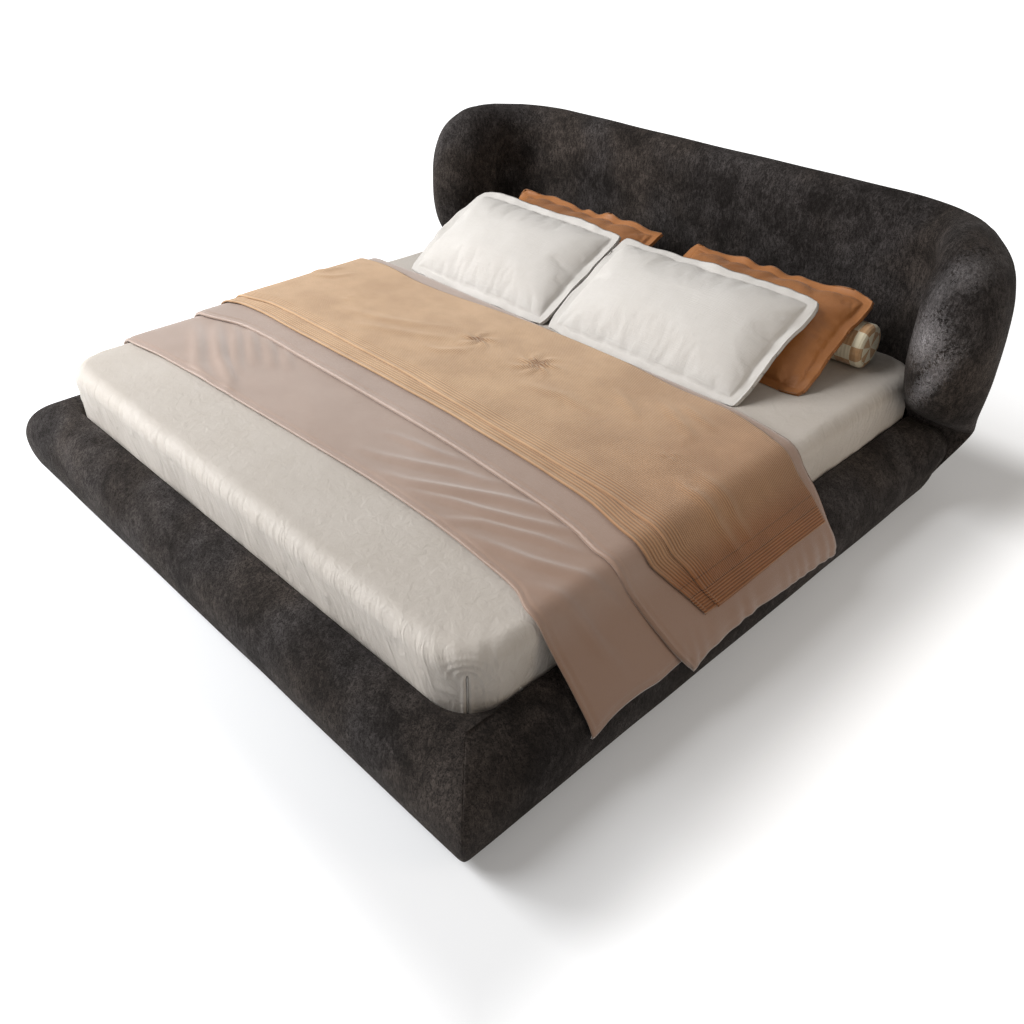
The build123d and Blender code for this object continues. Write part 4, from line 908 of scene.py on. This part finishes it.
def folded_cloth(name, edges, hems, lift, thickness, gap, columns, rows, bead, ripple):
    """A cloth folded in two across the bed: a lower layer from its foot edge to the head edge, a
    half-round fold there, and an upper layer back to the turned edge. edges are the foot, head
    and turned edges' distances along the bed by girth, and hems the lower and upper layer's half
    girths by distance along the bed. The lower layer thins towards its borders on its upper side
    only, the upper layer on both, so that its edge lifts, and both have a bead along them.
    Returns the piece and its length."""
    foot, head, turned = edges
    hem_low, hem_high = hems
    share = np.linspace(-1, 1, columns)
    share = np.sin(share * np.pi / 2) * 0.35 + share * 0.65
    middle_low = lift + thickness / 2
    middle_high = middle_low + thickness + gap
    radius = (thickness + gap) / 2
    ease = np.linspace(0, 1, rows) ** 1.35
    stages = []
    for stage, steps in enumerate((ease, np.linspace(0, 1, 9)[1:-1], 1 - ease[::-1])):
        for e in steps:
            guess = share * 1.2
            for _ in range(3):
                low_y = foot(guess) + (head(guess) - radius - foot(guess)) * e
                high_y = head(guess) - radius + (turned(guess) - head(guess) + radius) * e
                if stage == 0:
                    y, up, half = low_y, np.full_like(guess, middle_low), hem_low(low_y)
                elif stage == 2:
                    y, up, half = high_y, np.full_like(guess, middle_high), hem_high(high_y)
                else:
                    bend = np.pi * e
                    y = head(guess) - radius + radius * np.sin(bend)
                    up = np.full_like(guess, (middle_low + middle_high) / 2 - radius * np.cos(bend))
                    half = hem_low(y) * (1 - e) + hem_high(y) * e
                guess = share * half
            stages.append(np.stack([guess, y, up, np.full_like(guess, stage)], -1))
    grid = np.array(stages)
    girth, y, up, stage = (grid[..., k] for k in range(4))
    flat = np.stack([girth, y, np.zeros_like(y)], -1)
    up = up + ripple(flat, stage)
    x, z, nx, nz = drape(girth)
    centre = np.stack([x + nx * up, MATTRESS_FOOT + y, z + nz * up], -1)
    normal = grid_normals(centre)
    along = np.concatenate([[0], np.cumsum(np.linalg.norm(np.diff(centre[:, columns // 2], axis=0), axis=-1))])
    uv = np.stack([girth, np.broadcast_to(along[:, None], girth.shape)], -1)
    length = along[-1]
    from_end = np.minimum(uv[..., 1], length - uv[..., 1])
    from_hem = np.abs(girth[:, -1:]) - np.abs(girth)
    border = np.minimum(from_end, from_hem)
    full = thickness * (0.45 + 0.55 * np.clip(border / 0.02, 0, 1) ** 0.5)
    full = full - 0.25 * thickness * bell(border - 0.016, 0.003) + bead * bell(border - 0.006, 0.005)
    outer = centre + normal * np.where(stage < 1, full - thickness / 2, full / 2)[..., None]
    return thick_sheet(name, outer, full, uv), length


def creases(flat, lines):
    """Soft creases on the flat cloth along listed paths of girths and distances, each after its half width and
    height: a bell across the path that fades out towards both ends."""
    total = np.zeros(flat.shape[:-1])
    for line_mm in lines:
        width, height, *path = np.array(line_mm) / 1000
        path = np.reshape(path, (-1, 2))
        legs = np.diff(path, axis=0)
        sizes = np.hypot(*legs.T)
        nearest = np.full(total.shape, np.inf)
        place = np.zeros(total.shape)
        for start, leg, size, before in zip(path, legs, sizes, np.cumsum(sizes) - sizes):
            share = np.clip((flat[..., :2] - start) @ leg / size**2, 0, 1)
            off = np.linalg.norm(flat[..., :2] - start - share[..., None] * leg, axis=-1)
            place = np.where(off < nearest, before + share * size, place)
            nearest = np.minimum(off, nearest)
        total = total + height * bell(nearest, width) * np.sin(np.pi * place / sizes.sum())
    return total


def pinch(flat, across, far, spokes, reach, height, turn):
    """Folds that run out from a pinched point like spokes."""
    x, y = flat[..., 0] - across, flat[..., 1] - far
    away = np.hypot(x, y)
    angle = np.arctan2(y, x) + 0.5 * away / reach
    ridge = (0.5 + 0.5 * np.cos(spokes * angle + turn)) ** 2
    return height * ridge * bell(away - 0.3 * reach, 0.55 * reach) * (1 - bell(away, 0.009))


def swelling(flat, height, size, seed):
    """A soft rise and fall, mostly between nought and twice the height."""
    return height * (1 + rough_noise(flat, size, seed, 2) / 1.5)


def shared_rise(flat):
    """The slow rise and fall that every layer on the mattress follows."""
    return swelling(flat, 0.0016, 0.4, 41)


def duvet_ripple(flat, stage):
    """The duvet's creases on the lower layer's bare part, and small gathers along the upper
    layer's hems: sine folds across the girth, where the sine's own phase wanders."""
    across = flat * np.array([0.5, 1.2, 1])
    lower = DUVET_FULLNESS * creases(flat, DUVET_CREASES) + swelling(across, 0.0012, 0.11, 53)
    girth, far = np.abs(flat[..., 0]), flat[..., 1]
    wander = far + 0.03 * np.sin(11 * far) + 0.014 * np.sin(29 * far + 1)
    folds = (0.7 + 0.3 * np.sin(17 * far)) * (1 + np.sin(2 * np.pi * wander / 0.06))
    upper = swelling(flat, 0.0012, 0.16, 43) + 0.0024 * folds * bell(girth - 1.235, 0.045)
    lower = np.where(stage < 1, lower * np.clip((0.62 - far) / 0.06, 0, 1), 0)
    return shared_rise(flat) + lower + np.where(stage > 1, upper, 0)


def throw_ripple(flat, stage):
    """The throw's creases and pinched folds, on its upper layer."""
    top = creases(flat, THROW_CREASES) + swelling(flat, 0.0008, 0.08, 47)
    for folds in PINCH_FOLDS:
        top = top + pinch(flat, *folds)
    return shared_rise(flat) + swelling(flat, 0.0014, 0.16, 43) + np.where(stage > 1, top, 0)


# How much deeper the duvet's creases are than their table says
DUVET_FULLNESS = 1.35
# Pinched folds: girth, distance, spokes, reach, height and turn
PINCH_FOLDS = (
    (-0.094, 1.015, 5, 0.07, 0.0075, 0.6),
    (0.159, 1.025, 7, 0.08, 0.008, 0.0),
    (0.775, 0.901, 3, 0.03, 0.003, 1.0),
    (-0.656, 0.911, 2, 0.025, 0.003, 2.0),
)
# Creases that the photograph shows, in millimetres: half width, height and the path's points
DUVET_CREASES = (
    (14, 4.5, 100, 450, 162, 468, 313, 492, 416, 528),
    (16, 5.5, 120, 350, 214, 372, 307, 413, 408, 464, 500, 493, 577, 548),
    (16, 7.5, 240, 310, 359, 343, 512, 426, 591, 470, 686, 509, 771, 548),
    (14, 6.5, 360, 310, 443, 339, 504, 366, 591, 395, 688, 437, 777, 484, 856, 532),
    (13, 5.5, 500, 285, 548, 301, 627, 360, 697, 387, 772, 420, 844, 440, 895, 467),
    (16, 6, 600, 290, 731, 321, 811, 340, 893, 374, 954, 403, 1015, 439, 1077, 479),
    (18, 5, 850, 270, 937, 303, 1081, 350, 1180, 400),
    (16, 4, 930, 450, 1030, 500, 1120, 530),
    (20, 7.5, -900, 450, -735, 365, -600, 290, -470, 255),
    (17, 8.5, -860, 510, -740, 440, -600, 370, -440, 310, -360, 250),
    (13, 6, -810, 540, -700, 487, -570, 410, -450, 345),
    (13, 6, -740, 560, -620, 500, -470, 415),
    (13, 5.5, -640, 560, -530, 510, -410, 440),
    (12, 4, -540, 565, -450, 520, -360, 470),
)
THROW_CREASES = (
    (16, 6, 840, 840, 900, 810, 969, 807, 1047, 834, 1100, 870),
    (16, 5, 860, 900, 930, 875, 1000, 880, 1080, 920),
    (18, 5.5, 550, 1140, 600, 1110, 691, 1064, 746, 1027, 760, 960),
    (16, 4.5, 420, 1090, 467, 1062, 544, 1023, 600, 980),
    (14, 4.5, 620, 1160, 700, 1130, 790, 1100),
    (20, 4.5, -600, 840, -420, 900, -290, 965, -200, 1040),
    (20, 4, -500, 780, -380, 840, -250, 900, -120, 985),
    (14, 4, -200, 860, -126, 872, -70, 930, -70, 1000),
    (13, 5, -1000, 950, -920, 1000, -900, 1100),
    (13, 5, -930, 930, -850, 990, -820, 1080),
    (20, 4, 200, 900, 350, 940, 500, 930),
)
duvet_foot = edge_table(
    (-1250, -1120, -1000, -930, -750, -286, 70, 324, 564, 722, 858, 930, 986, 1036, 1122, 1250),
    (250, 236, 218, 216, 238, 264, 278, 286, 280, 266, 246, 216, 218, 224, 236, 250),
)
duvet_turned = edge_table(
    (-1265, -1100, -980, -910, -754, -414, 88, 308, 520, 676, 810, 910, 984, 1052, 1136, 1216, 1265),
    (600, 510, 480, 485, 534, 544, 542, 538, 524, 512, 492, 468, 470, 490, 522, 558, 600),
)
duvet_head = edge_table(
    (-1260, -1000, -600, 0, 600, 730, 858, 974, 1068, 1180, 1260),
    (1270, 1250, 1270, 1270, 1272, 1270, 1250, 1230, 1252, 1262, 1272),
)
duvet_low_hem = edge_table(
    (0, 250, 318, 382, 436, 490, 568, 1300),
    (1250, 1250, 1236, 1232, 1234, 1240, 1235, 1235),
)
duvet_high_hem = edge_table(
    (400, 600, 650, 712, 802, 892, 986, 1086, 1186, 1275),
    (1265, 1265, 1250, 1244, 1238, 1238, 1246, 1250, 1255, 1266),
)
duvet, duvet_length = folded_cloth(
    "duvet_cloth",
    (duvet_foot, duvet_head, duvet_turned),
    (duvet_low_hem, duvet_high_hem),
    lift=0.003,
    thickness=0.0125,
    gap=0.001,
    columns=220,
    rows=96,
    bead=0.0012,
    ripple=duvet_ripple,
)
dress(duvet, DUVET, ["duvet"])

throw_foot = edge_table(
    (-1155, -1090, -1020, -950, -882, -536, -26, 200, 416, 614, 768, 890, 956, 1022, 1088, 1155),
    (672, 632, 595, 590, 614, 628, 636, 634, 624, 612, 594, 562, 554, 588, 632, 674),
)
throw_turned = edge_table(
    (-1155, -1030, -950, -800, -518, -102, 146, 366, 568, 750, 896, 956, 1030, 1096, 1155),
    (720, 665, 650, 685, 694, 696, 682, 670, 660, 650, 630, 624, 658, 684, 718),
)
throw_head = edge_table(
    (-1156, -1000, -800, -594, -36, 312, 562, 700, 858, 958, 1064, 1156),
    (1200, 1180, 1205, 1190, 1242, 1246, 1226, 1230, 1200, 1170, 1204, 1228),
)
throw_hem = edge_table((500, 780, 910, 1060, 1300), (1154, 1160, 1158, 1155, 1156))
throw, throw_length = folded_cloth(
    "throw_cloth",
    (throw_foot, throw_head, throw_turned),
    (throw_hem, throw_hem),
    lift=0.0315,
    thickness=0.005,
    gap=0.0006,
    columns=230,
    rows=90,
    bead=0.0035,
    ripple=throw_ripple,
)
dress(throw, KNIT, ["throw_blanket"])


# Pillows
def spread(count, edge):
    """Shares from -edge to edge: the flange's rows, the body's, which lie closer at its ends, and
    the flange's again."""
    even = np.linspace(-1, 1, count)
    before = np.linspace(-edge, -1, FLANGE_ROWS + 1)[:-1]
    after = np.linspace(1, edge, FLANGE_ROWS + 1)[1:]
    return np.concatenate([before, 0.5 * (np.sin(even * np.pi / 2) + even), after])


def pillow_grid(width, length, crown, underside, flange, draw, seed, scallop):
    """A pillow on a grid of shares p, q from -1 to 1 over its body and on past it over its
    flange. Height is crown x ((1 - |p|^2.3)(1 - |q|^2.3))^0.5, the sides pull in between the
    corners, the corners are rounded off and the flange waves. scallop gathers the far edge into
    cosine folds some 0.12 m apart. Returns upper and lower grids in width, length and height."""
    count_w, count_l = 104, 74
    body_w, body_l = width / 2 - flange, length / 2 - flange
    edge_w, edge_l = 1 + flange / body_w, 1 + flange / body_l
    p, q = np.meshgrid(spread(count_w, edge_w), spread(count_l, edge_l), indexing="xy")
    inside = np.clip(1 - np.abs(p) ** 2.3, 0, 1) * np.clip(1 - np.abs(q) ** 2.3, 0, 1)
    full = inside**0.5
    corner = np.abs(p * q) ** 5
    a = p * body_w * (1 - draw * (1 - np.clip(q * q, 0, 1)) - 0.012 * corner)
    b = q * body_l * (1 - draw * 1.6 * (1 - np.clip(p * p, 0, 1)) - 0.018 * corner)
    place = np.stack([a, b, np.zeros_like(a)], -1)
    rim = np.maximum(np.abs(p) ** 4, np.abs(q) ** 4)
    a = a + 0.005 * rim * rough_noise(place, 0.14, seed + 21, 2)
    b = b + 0.005 * rim * rough_noise(place, 0.14, seed + 23, 2)
    lumps = rough_noise(place, 0.19, seed, 3)
    past_w = np.maximum(np.abs(p) - 1, 0) / (edge_w - 1)
    past_l = np.maximum(np.abs(q) - 1, 0) / (edge_l - 1)
    past = np.maximum(past_w, past_l)
    wave = 0.0085 * past * rough_noise(place, 0.075, seed + 9, 2)
    folds = np.cos(2 * np.pi * (a + 0.03 * np.sin(9 * a + seed)) / 0.12)
    folds = folds * (0.7 + 0.3 * np.sin(13 * a + seed))
    far = np.clip((q - 0.72) / 0.28, 0, 1) ** 2
    wave = wave + scallop * folds * far * (0.4 + 0.6 * past)
    b = b - 0.3 * scallop * (1 - folds) * far
    rise = crown * full * (1 + 0.08 * lumps)
    drop = underside * full * (1 + 0.06 * lumps)
    upper = np.stack([a, b, rise + PILLOW_SKIN + wave], -1)
    lower = np.stack([a, b, -drop - PILLOW_SKIN + wave], -1)
    return upper, lower


def lean(points, centre, tilt, droop):
    """Stand a pillow up by its tilt about x and set it at its centre. Before that its far edge
    and its corners droop back and its near edge droops to lie flat."""
    a, b, c = (points[..., k] for k in range(3))
    half = np.abs(b).max()
    wide = np.abs(a).max()
    c = c - droop * (np.clip(b / half, 0, 2) ** 2) - 0.6 * droop * (np.clip(-b / half, 0, 2) ** 3)
    c = c - 0.7 * droop * np.abs(a * b / wide / half) ** 3
    y = b * np.cos(tilt) - c * np.sin(tilt)
    z = b * np.sin(tilt) + c * np.cos(tilt)
    return np.stack([a, y, z], -1) + np.asarray(centre)


def inflate(piece, held, pressure, slack, share, most):
    """Blow the cover up as cloth with its flange held: fuller by slack than the shape it starts
    from, so that it settles into folds. Each point then goes a share of its way, at most most."""
    group = piece.vertex_groups.new(name="flange")
    group.add(np.flatnonzero(held).tolist(), 1.0, "REPLACE")
    cover = piece.modifiers.new("cover", "CLOTH")
    for key, value in COVER_CLOTH.items():
        setattr(cover.settings, key, value)
    cover.settings.uniform_pressure_force = pressure
    cover.settings.shrink_min = -slack
    cover.settings.effector_weights.gravity = 0
    cover.collision_settings.use_collision = False
    cover.point_cache.frame_start = 1
    cover.point_cache.frame_end = SIM_FRAMES
    for step in range(1, SIM_FRAMES + 1):
        scene.frame_set(step)
    settled = piece.evaluated_get(bpy.context.evaluated_depsgraph_get()).data
    after = np.empty(len(settled.vertices) * 3, np.float32)
    settled.vertices.foreach_get("co", after)
    before = np.empty_like(after)
    piece.data.vertices.foreach_get("co", before)
    before = before.reshape(-1, 3)
    move = (after.reshape(-1, 3) - before) * share
    size = np.linalg.norm(move, axis=-1, keepdims=True)
    piece.modifiers.remove(cover)
    piece.vertex_groups.remove(group)
    scene.frame_set(1)
    return before + move * np.minimum(1, most / np.maximum(size, 1e-9))


def pillow(name, x, front, size, tilt, finish, slot, droop, slack, **shape):
    """A closed pillow whose front edge lies on the mattress at front: upper and lower grids
    joined by a rim whose middle is drawn in, so that the flange's two layers show as a double
    edge. shape is what pillow_grid takes besides the size."""
    upper, lower = pillow_grid(*size, **shape)
    rows, cols = upper.shape[:2]
    spare = rows * cols
    index = np.arange(spare).reshape(rows, cols)
    border = grid_border(index)
    top, low = upper.reshape(-1, 3), lower.reshape(-1, 3)
    mouth = np.clip(top[border, 0] / (size[0] / 2) - 0.86, 0, 1)[:, None] / 0.14
    top[border] = top[border] - mouth * np.array([0.004, 0, -0.0015])
    low[border] = low[border] + mouth * np.array([0.003, 0, -0.004])
    between = (top[border] + low[border]) / 2 * np.array([0.985, 0.975, 1])
    ring = 2 * spare + np.arange(len(border))
    ahead = np.roll(np.arange(len(border)), -1)
    quads = grid_quads(rows, cols)
    faces = [quads, quads[:, ::-1] + spare]
    faces.append(np.stack([border, ring, ring[ahead], border[ahead]], -1))
    faces.append(np.stack([ring, border + spare, border[ahead] + spare, ring[ahead]], -1))
    across = np.linspace(0, size[0], cols)[None, :].repeat(rows, 0)
    along = np.linspace(0, size[1], rows)[:, None].repeat(cols, 1)
    uv = np.stack([across, along], -1).reshape(-1, 2)
    points = np.concatenate([top, low, between])
    piece = new_piece(name, points, np.concatenate(faces), np.concatenate([uv, uv, uv[border]]))
    body = np.ones((rows, cols), bool)
    body[FLANGE_ROWS:-FLANGE_ROWS, FLANGE_ROWS:-FLANGE_ROWS] = False
    held = np.concatenate([body.ravel(), body.ravel(), np.ones(len(border), bool)])
    points = inflate(piece, held, pressure=3.0, slack=slack, share=0.6, most=0.018)
    tilt = np.radians(tilt)
    centre_y = MATTRESS_FOOT + front + np.cos(tilt) * size[1] / 2
    centre_z = MATTRESS_TOP + PILLOW_LIFT + np.sin(tilt) * size[1] / 2
    points = lean(points, (x, centre_y, centre_z), tilt, droop)
    lowest = np.where(np.arange(len(points)) < spare, 0.005, 0.002) + MATTRESS_TOP
    points[:, 2] = np.maximum(points[:, 2], lowest)
    piece.data.vertices.foreach_set("co", points.astype(np.float32).ravel())
    piece.data.update()
    dress(piece, finish, [f"{name}_case", f"{name}_filling"])


FLANGE_ROWS = 7
PILLOW_SKIN = 0.0018
PILLOW_LIFT = 0.003
SIM_FRAMES = 14
COVER_CLOTH = {
    "vertex_group_mass": "flange",
    "quality": 4,
    "mass": 0.15,
    "use_pressure": True,
    "tension_stiffness": 15,
    "compression_stiffness": 15,
    "shear_stiffness": 5,
    "bending_stiffness": 0.06,
}
WHITE_PILLOW = dict(
    front=1.296, crown=0.062, underside=0.032, flange=0.036, tilt=29.0, finish=LINEN,
    slot="white_linen", draw=0.012, scallop=0.0, droop=0.011, slack=0.02,
)
TAN_PILLOW = dict(
    front=1.5, crown=0.056, underside=0.029, flange=0.034, tilt=28.4, finish=TAN,
    slot="tan_satin", draw=0.028, scallop=0.0065, droop=0.008, slack=0.035,
)
pillow("white_pillow_left", -0.453, size=(0.74, 0.485), seed=101, **WHITE_PILLOW)
pillow("white_pillow_right", 0.31, size=(0.80, 0.485), seed=131, **WHITE_PILLOW)
pillow("tan_pillow_left", -0.395, size=(0.715, 0.454), seed=151, **TAN_PILLOW)
pillow("tan_pillow_right", 0.445, size=(0.715, 0.454), seed=171, **TAN_PILLOW)


# Bolster
def bolster():
    """A roll whose radius is full along its length and closes over its rounded ends, with
    gathers that run in towards the middle of each end."""
    radius, length, end, around = 0.0715, 0.5, 0.016, 96
    turn = np.radians(np.linspace(90, 0, 8))
    disc = [(0.0, r) for r in np.linspace(0.004, radius - end, 10)]
    start = np.stack([end - end * np.sin(turn), radius - end + end * np.cos(turn)], -1)
    barrel = [(d, radius) for d in np.linspace(end, length / 2, 20)[1:]]
    half = np.concatenate([disc, start, barrel])
    outline = np.concatenate([half, np.stack([length - half[-2::-1, 0], half[-2::-1, 1]], -1)])
    turn = np.linspace(0, 2 * np.pi, around, endpoint=False)
    x, r = (np.broadcast_to(outline[:, k : k + 1], (len(outline), around)) for k in (0, 1))
    gather = 1 + 0.01 * np.sin(18 * turn)[None, :] * (np.minimum(x, length - x) < end)
    grid = np.stack([x, r * gather * np.cos(turn), r * gather * np.sin(turn)], -1)
    out = np.stack([np.zeros(around), np.cos(turn), np.sin(turn)], -1)
    grid = grid + 0.0015 * rough_noise(grid, 0.09, 61, 2)[..., None] * out
    past_end = np.where(x < length / 2, -1, 1) * (radius - r)
    uv = np.stack([x + past_end, np.broadcast_to(turn * radius, x.shape)], -1)
    centre = np.array([0.335, MATTRESS_FOOT + 1.842, MATTRESS_TOP + 0.0035 + radius])
    return grid + centre, tube_faces(len(outline), around), uv


points, faces, uv = bolster()
roll = new_piece("bolster_roll", points, faces, uv)
dress(roll, CHECK, ["bolster_cover", "bolster_filling"])


# Floor, light and camera
def floor_finish():
    """A white floor: its own glow, which only the camera and mirrors see and which grows away
    from the bed, lifts it to plain white outside the bed's shadow."""
    f = Finish("floor_white", Base_Color=(0.75, 0.765, 0.785, 1), Roughness=0.95, Specular_IOR_Level=0.0)
    x, y, _ = f.split(f.where())
    away = f.larger(f.size(x), f.size(y))
    level = f.stretch(away, *SHADOW_FADES) * SHADOW_GAIN + f.stretch(away, *FAR_FLOOR) * FAR_GAIN
    level = level + FLOOR_GLOW
    glow = f.node("ShaderNodeEmission", {}, {"Color": (1, 1, 1, 1), "Strength": f.seen() * level})
    both = f.tree.nodes.new("ShaderNodeAddShader")
    f.tree.links.new(f.shader.outputs[0], both.inputs[0])
    f.tree.links.new(glow.socket, both.inputs[1])
    f.tree.links.new(both.outputs[0], f.tree.nodes["Material Output"].inputs[0])
    return f.material


# The floor's least glow, and from where to where, by the larger of |x| and |y|, it grows and
# by how much
FLOOR_GLOW = 0.15
SHADOW_FADES, SHADOW_GAIN = (1.26, 1.56), 0.42
FAR_FLOOR, FAR_GAIN = (1.6, 4.0), 0.2
FLOOR_HALF = 14
corners = [(FLOOR_HALF * sx, FLOOR_HALF * sy, 0) for sx, sy in ((-1, -1), (1, -1), (1, 1), (-1, 1))]
floor = new_piece("floor", corners, [(0, 1, 2, 3)])
floor.data.materials.append(floor_finish())

# The world is plain white to the camera and in mirrors, and a dim warm light to all else
WORLD_LIGHT = 0.26
WORLD_TINT = (1, 0.945, 0.89)
scene.world = bpy.data.worlds.new("studio")
w = Finish("studio", scene.world)
rays = w.seen()
level = w.node("ShaderNodeMapRange", {}, {"Value": rays, "To Min": WORLD_LIGHT})
w.feed(Color=w.mix(rays, WORLD_TINT, (1, 1, 1)), Strength=level)


def set_up(name, data, right, up, back, place=(0, 0, 0)):
    """An object at a place, turned so that its own axes lie along right, up and back."""
    made = bpy.data.objects.new(name, data)
    scene.collection.objects.link(made)
    turn = np.eye(4)
    turn[:3] = np.stack([right, up, back, place], 1)
    made.matrix_world = Matrix(turn.tolist())
    return made


def light(name, kind, back, place=(0, 0, 0), **settings):
    """A light that shines away from its back, with its right-hand side level."""
    made = bpy.data.lights.new(name, kind)
    for key, value in settings.items():
        setattr(made, key, value)
    back = back / np.linalg.norm(back)
    side = np.cross((0, 0, 1), back)
    side = side / np.linalg.norm(side)
    return set_up(name, made, side, np.cross(back, side), back, place)


def lamp(name, place, aim, **settings):
    """A square area lamp at a place, turned to its aim."""
    back = np.asarray(place, float) - np.asarray(aim, float)
    return light(name, "AREA", back, place, shape="SQUARE", **settings)


lamp("window", (-3.1, -2.6, 2.6), (0, 0, 0.35), size=2.0, energy=215)
lamp("fill", (3.0, 0.3, 1.1), (1.0, 1.2, 0.4), size=1.6, energy=14, color=(1, 0.86, 0.7))
SUN_HEIGHT = np.radians(48)
to_sun = np.array([-0.7 * np.cos(SUN_HEIGHT), -0.714 * np.cos(SUN_HEIGHT), np.sin(SUN_HEIGHT)])
light("sun", "SUN", to_sun, angle=np.radians(26), energy=1.35)

# The camera fitted to the photograph
CAMERA_PLACE = (1.988, -1.9165, 1.794)
YAW, PITCH, ROLL = np.radians([135.157, 35.352, 0.895])
FOCAL_PIXELS = 948.0
CENTRE_PIXELS = (509.95, 510.94)
IMAGE_PIXELS = 1024
forward = np.array([np.cos(YAW) * np.cos(PITCH), np.sin(YAW) * np.cos(PITCH), -np.sin(PITCH)])
level_right = np.array([np.sin(YAW), -np.cos(YAW), 0])
level_up = np.cross(level_right, forward)
right = np.cos(ROLL) * level_right + np.sin(ROLL) * level_up
up = -np.sin(ROLL) * level_right + np.cos(ROLL) * level_up
lens = bpy.data.cameras.new("view")
lens.sensor_width = 36
lens.lens = lens.sensor_width * FOCAL_PIXELS / IMAGE_PIXELS
lens.shift_x = (IMAGE_PIXELS / 2 - CENTRE_PIXELS[0]) / IMAGE_PIXELS
lens.shift_y = (CENTRE_PIXELS[1] - IMAGE_PIXELS / 2) / IMAGE_PIXELS
scene.camera = set_up("camera", lens, right, up, -forward, CAMERA_PLACE)

scene.view_settings.view_transform = "Standard"
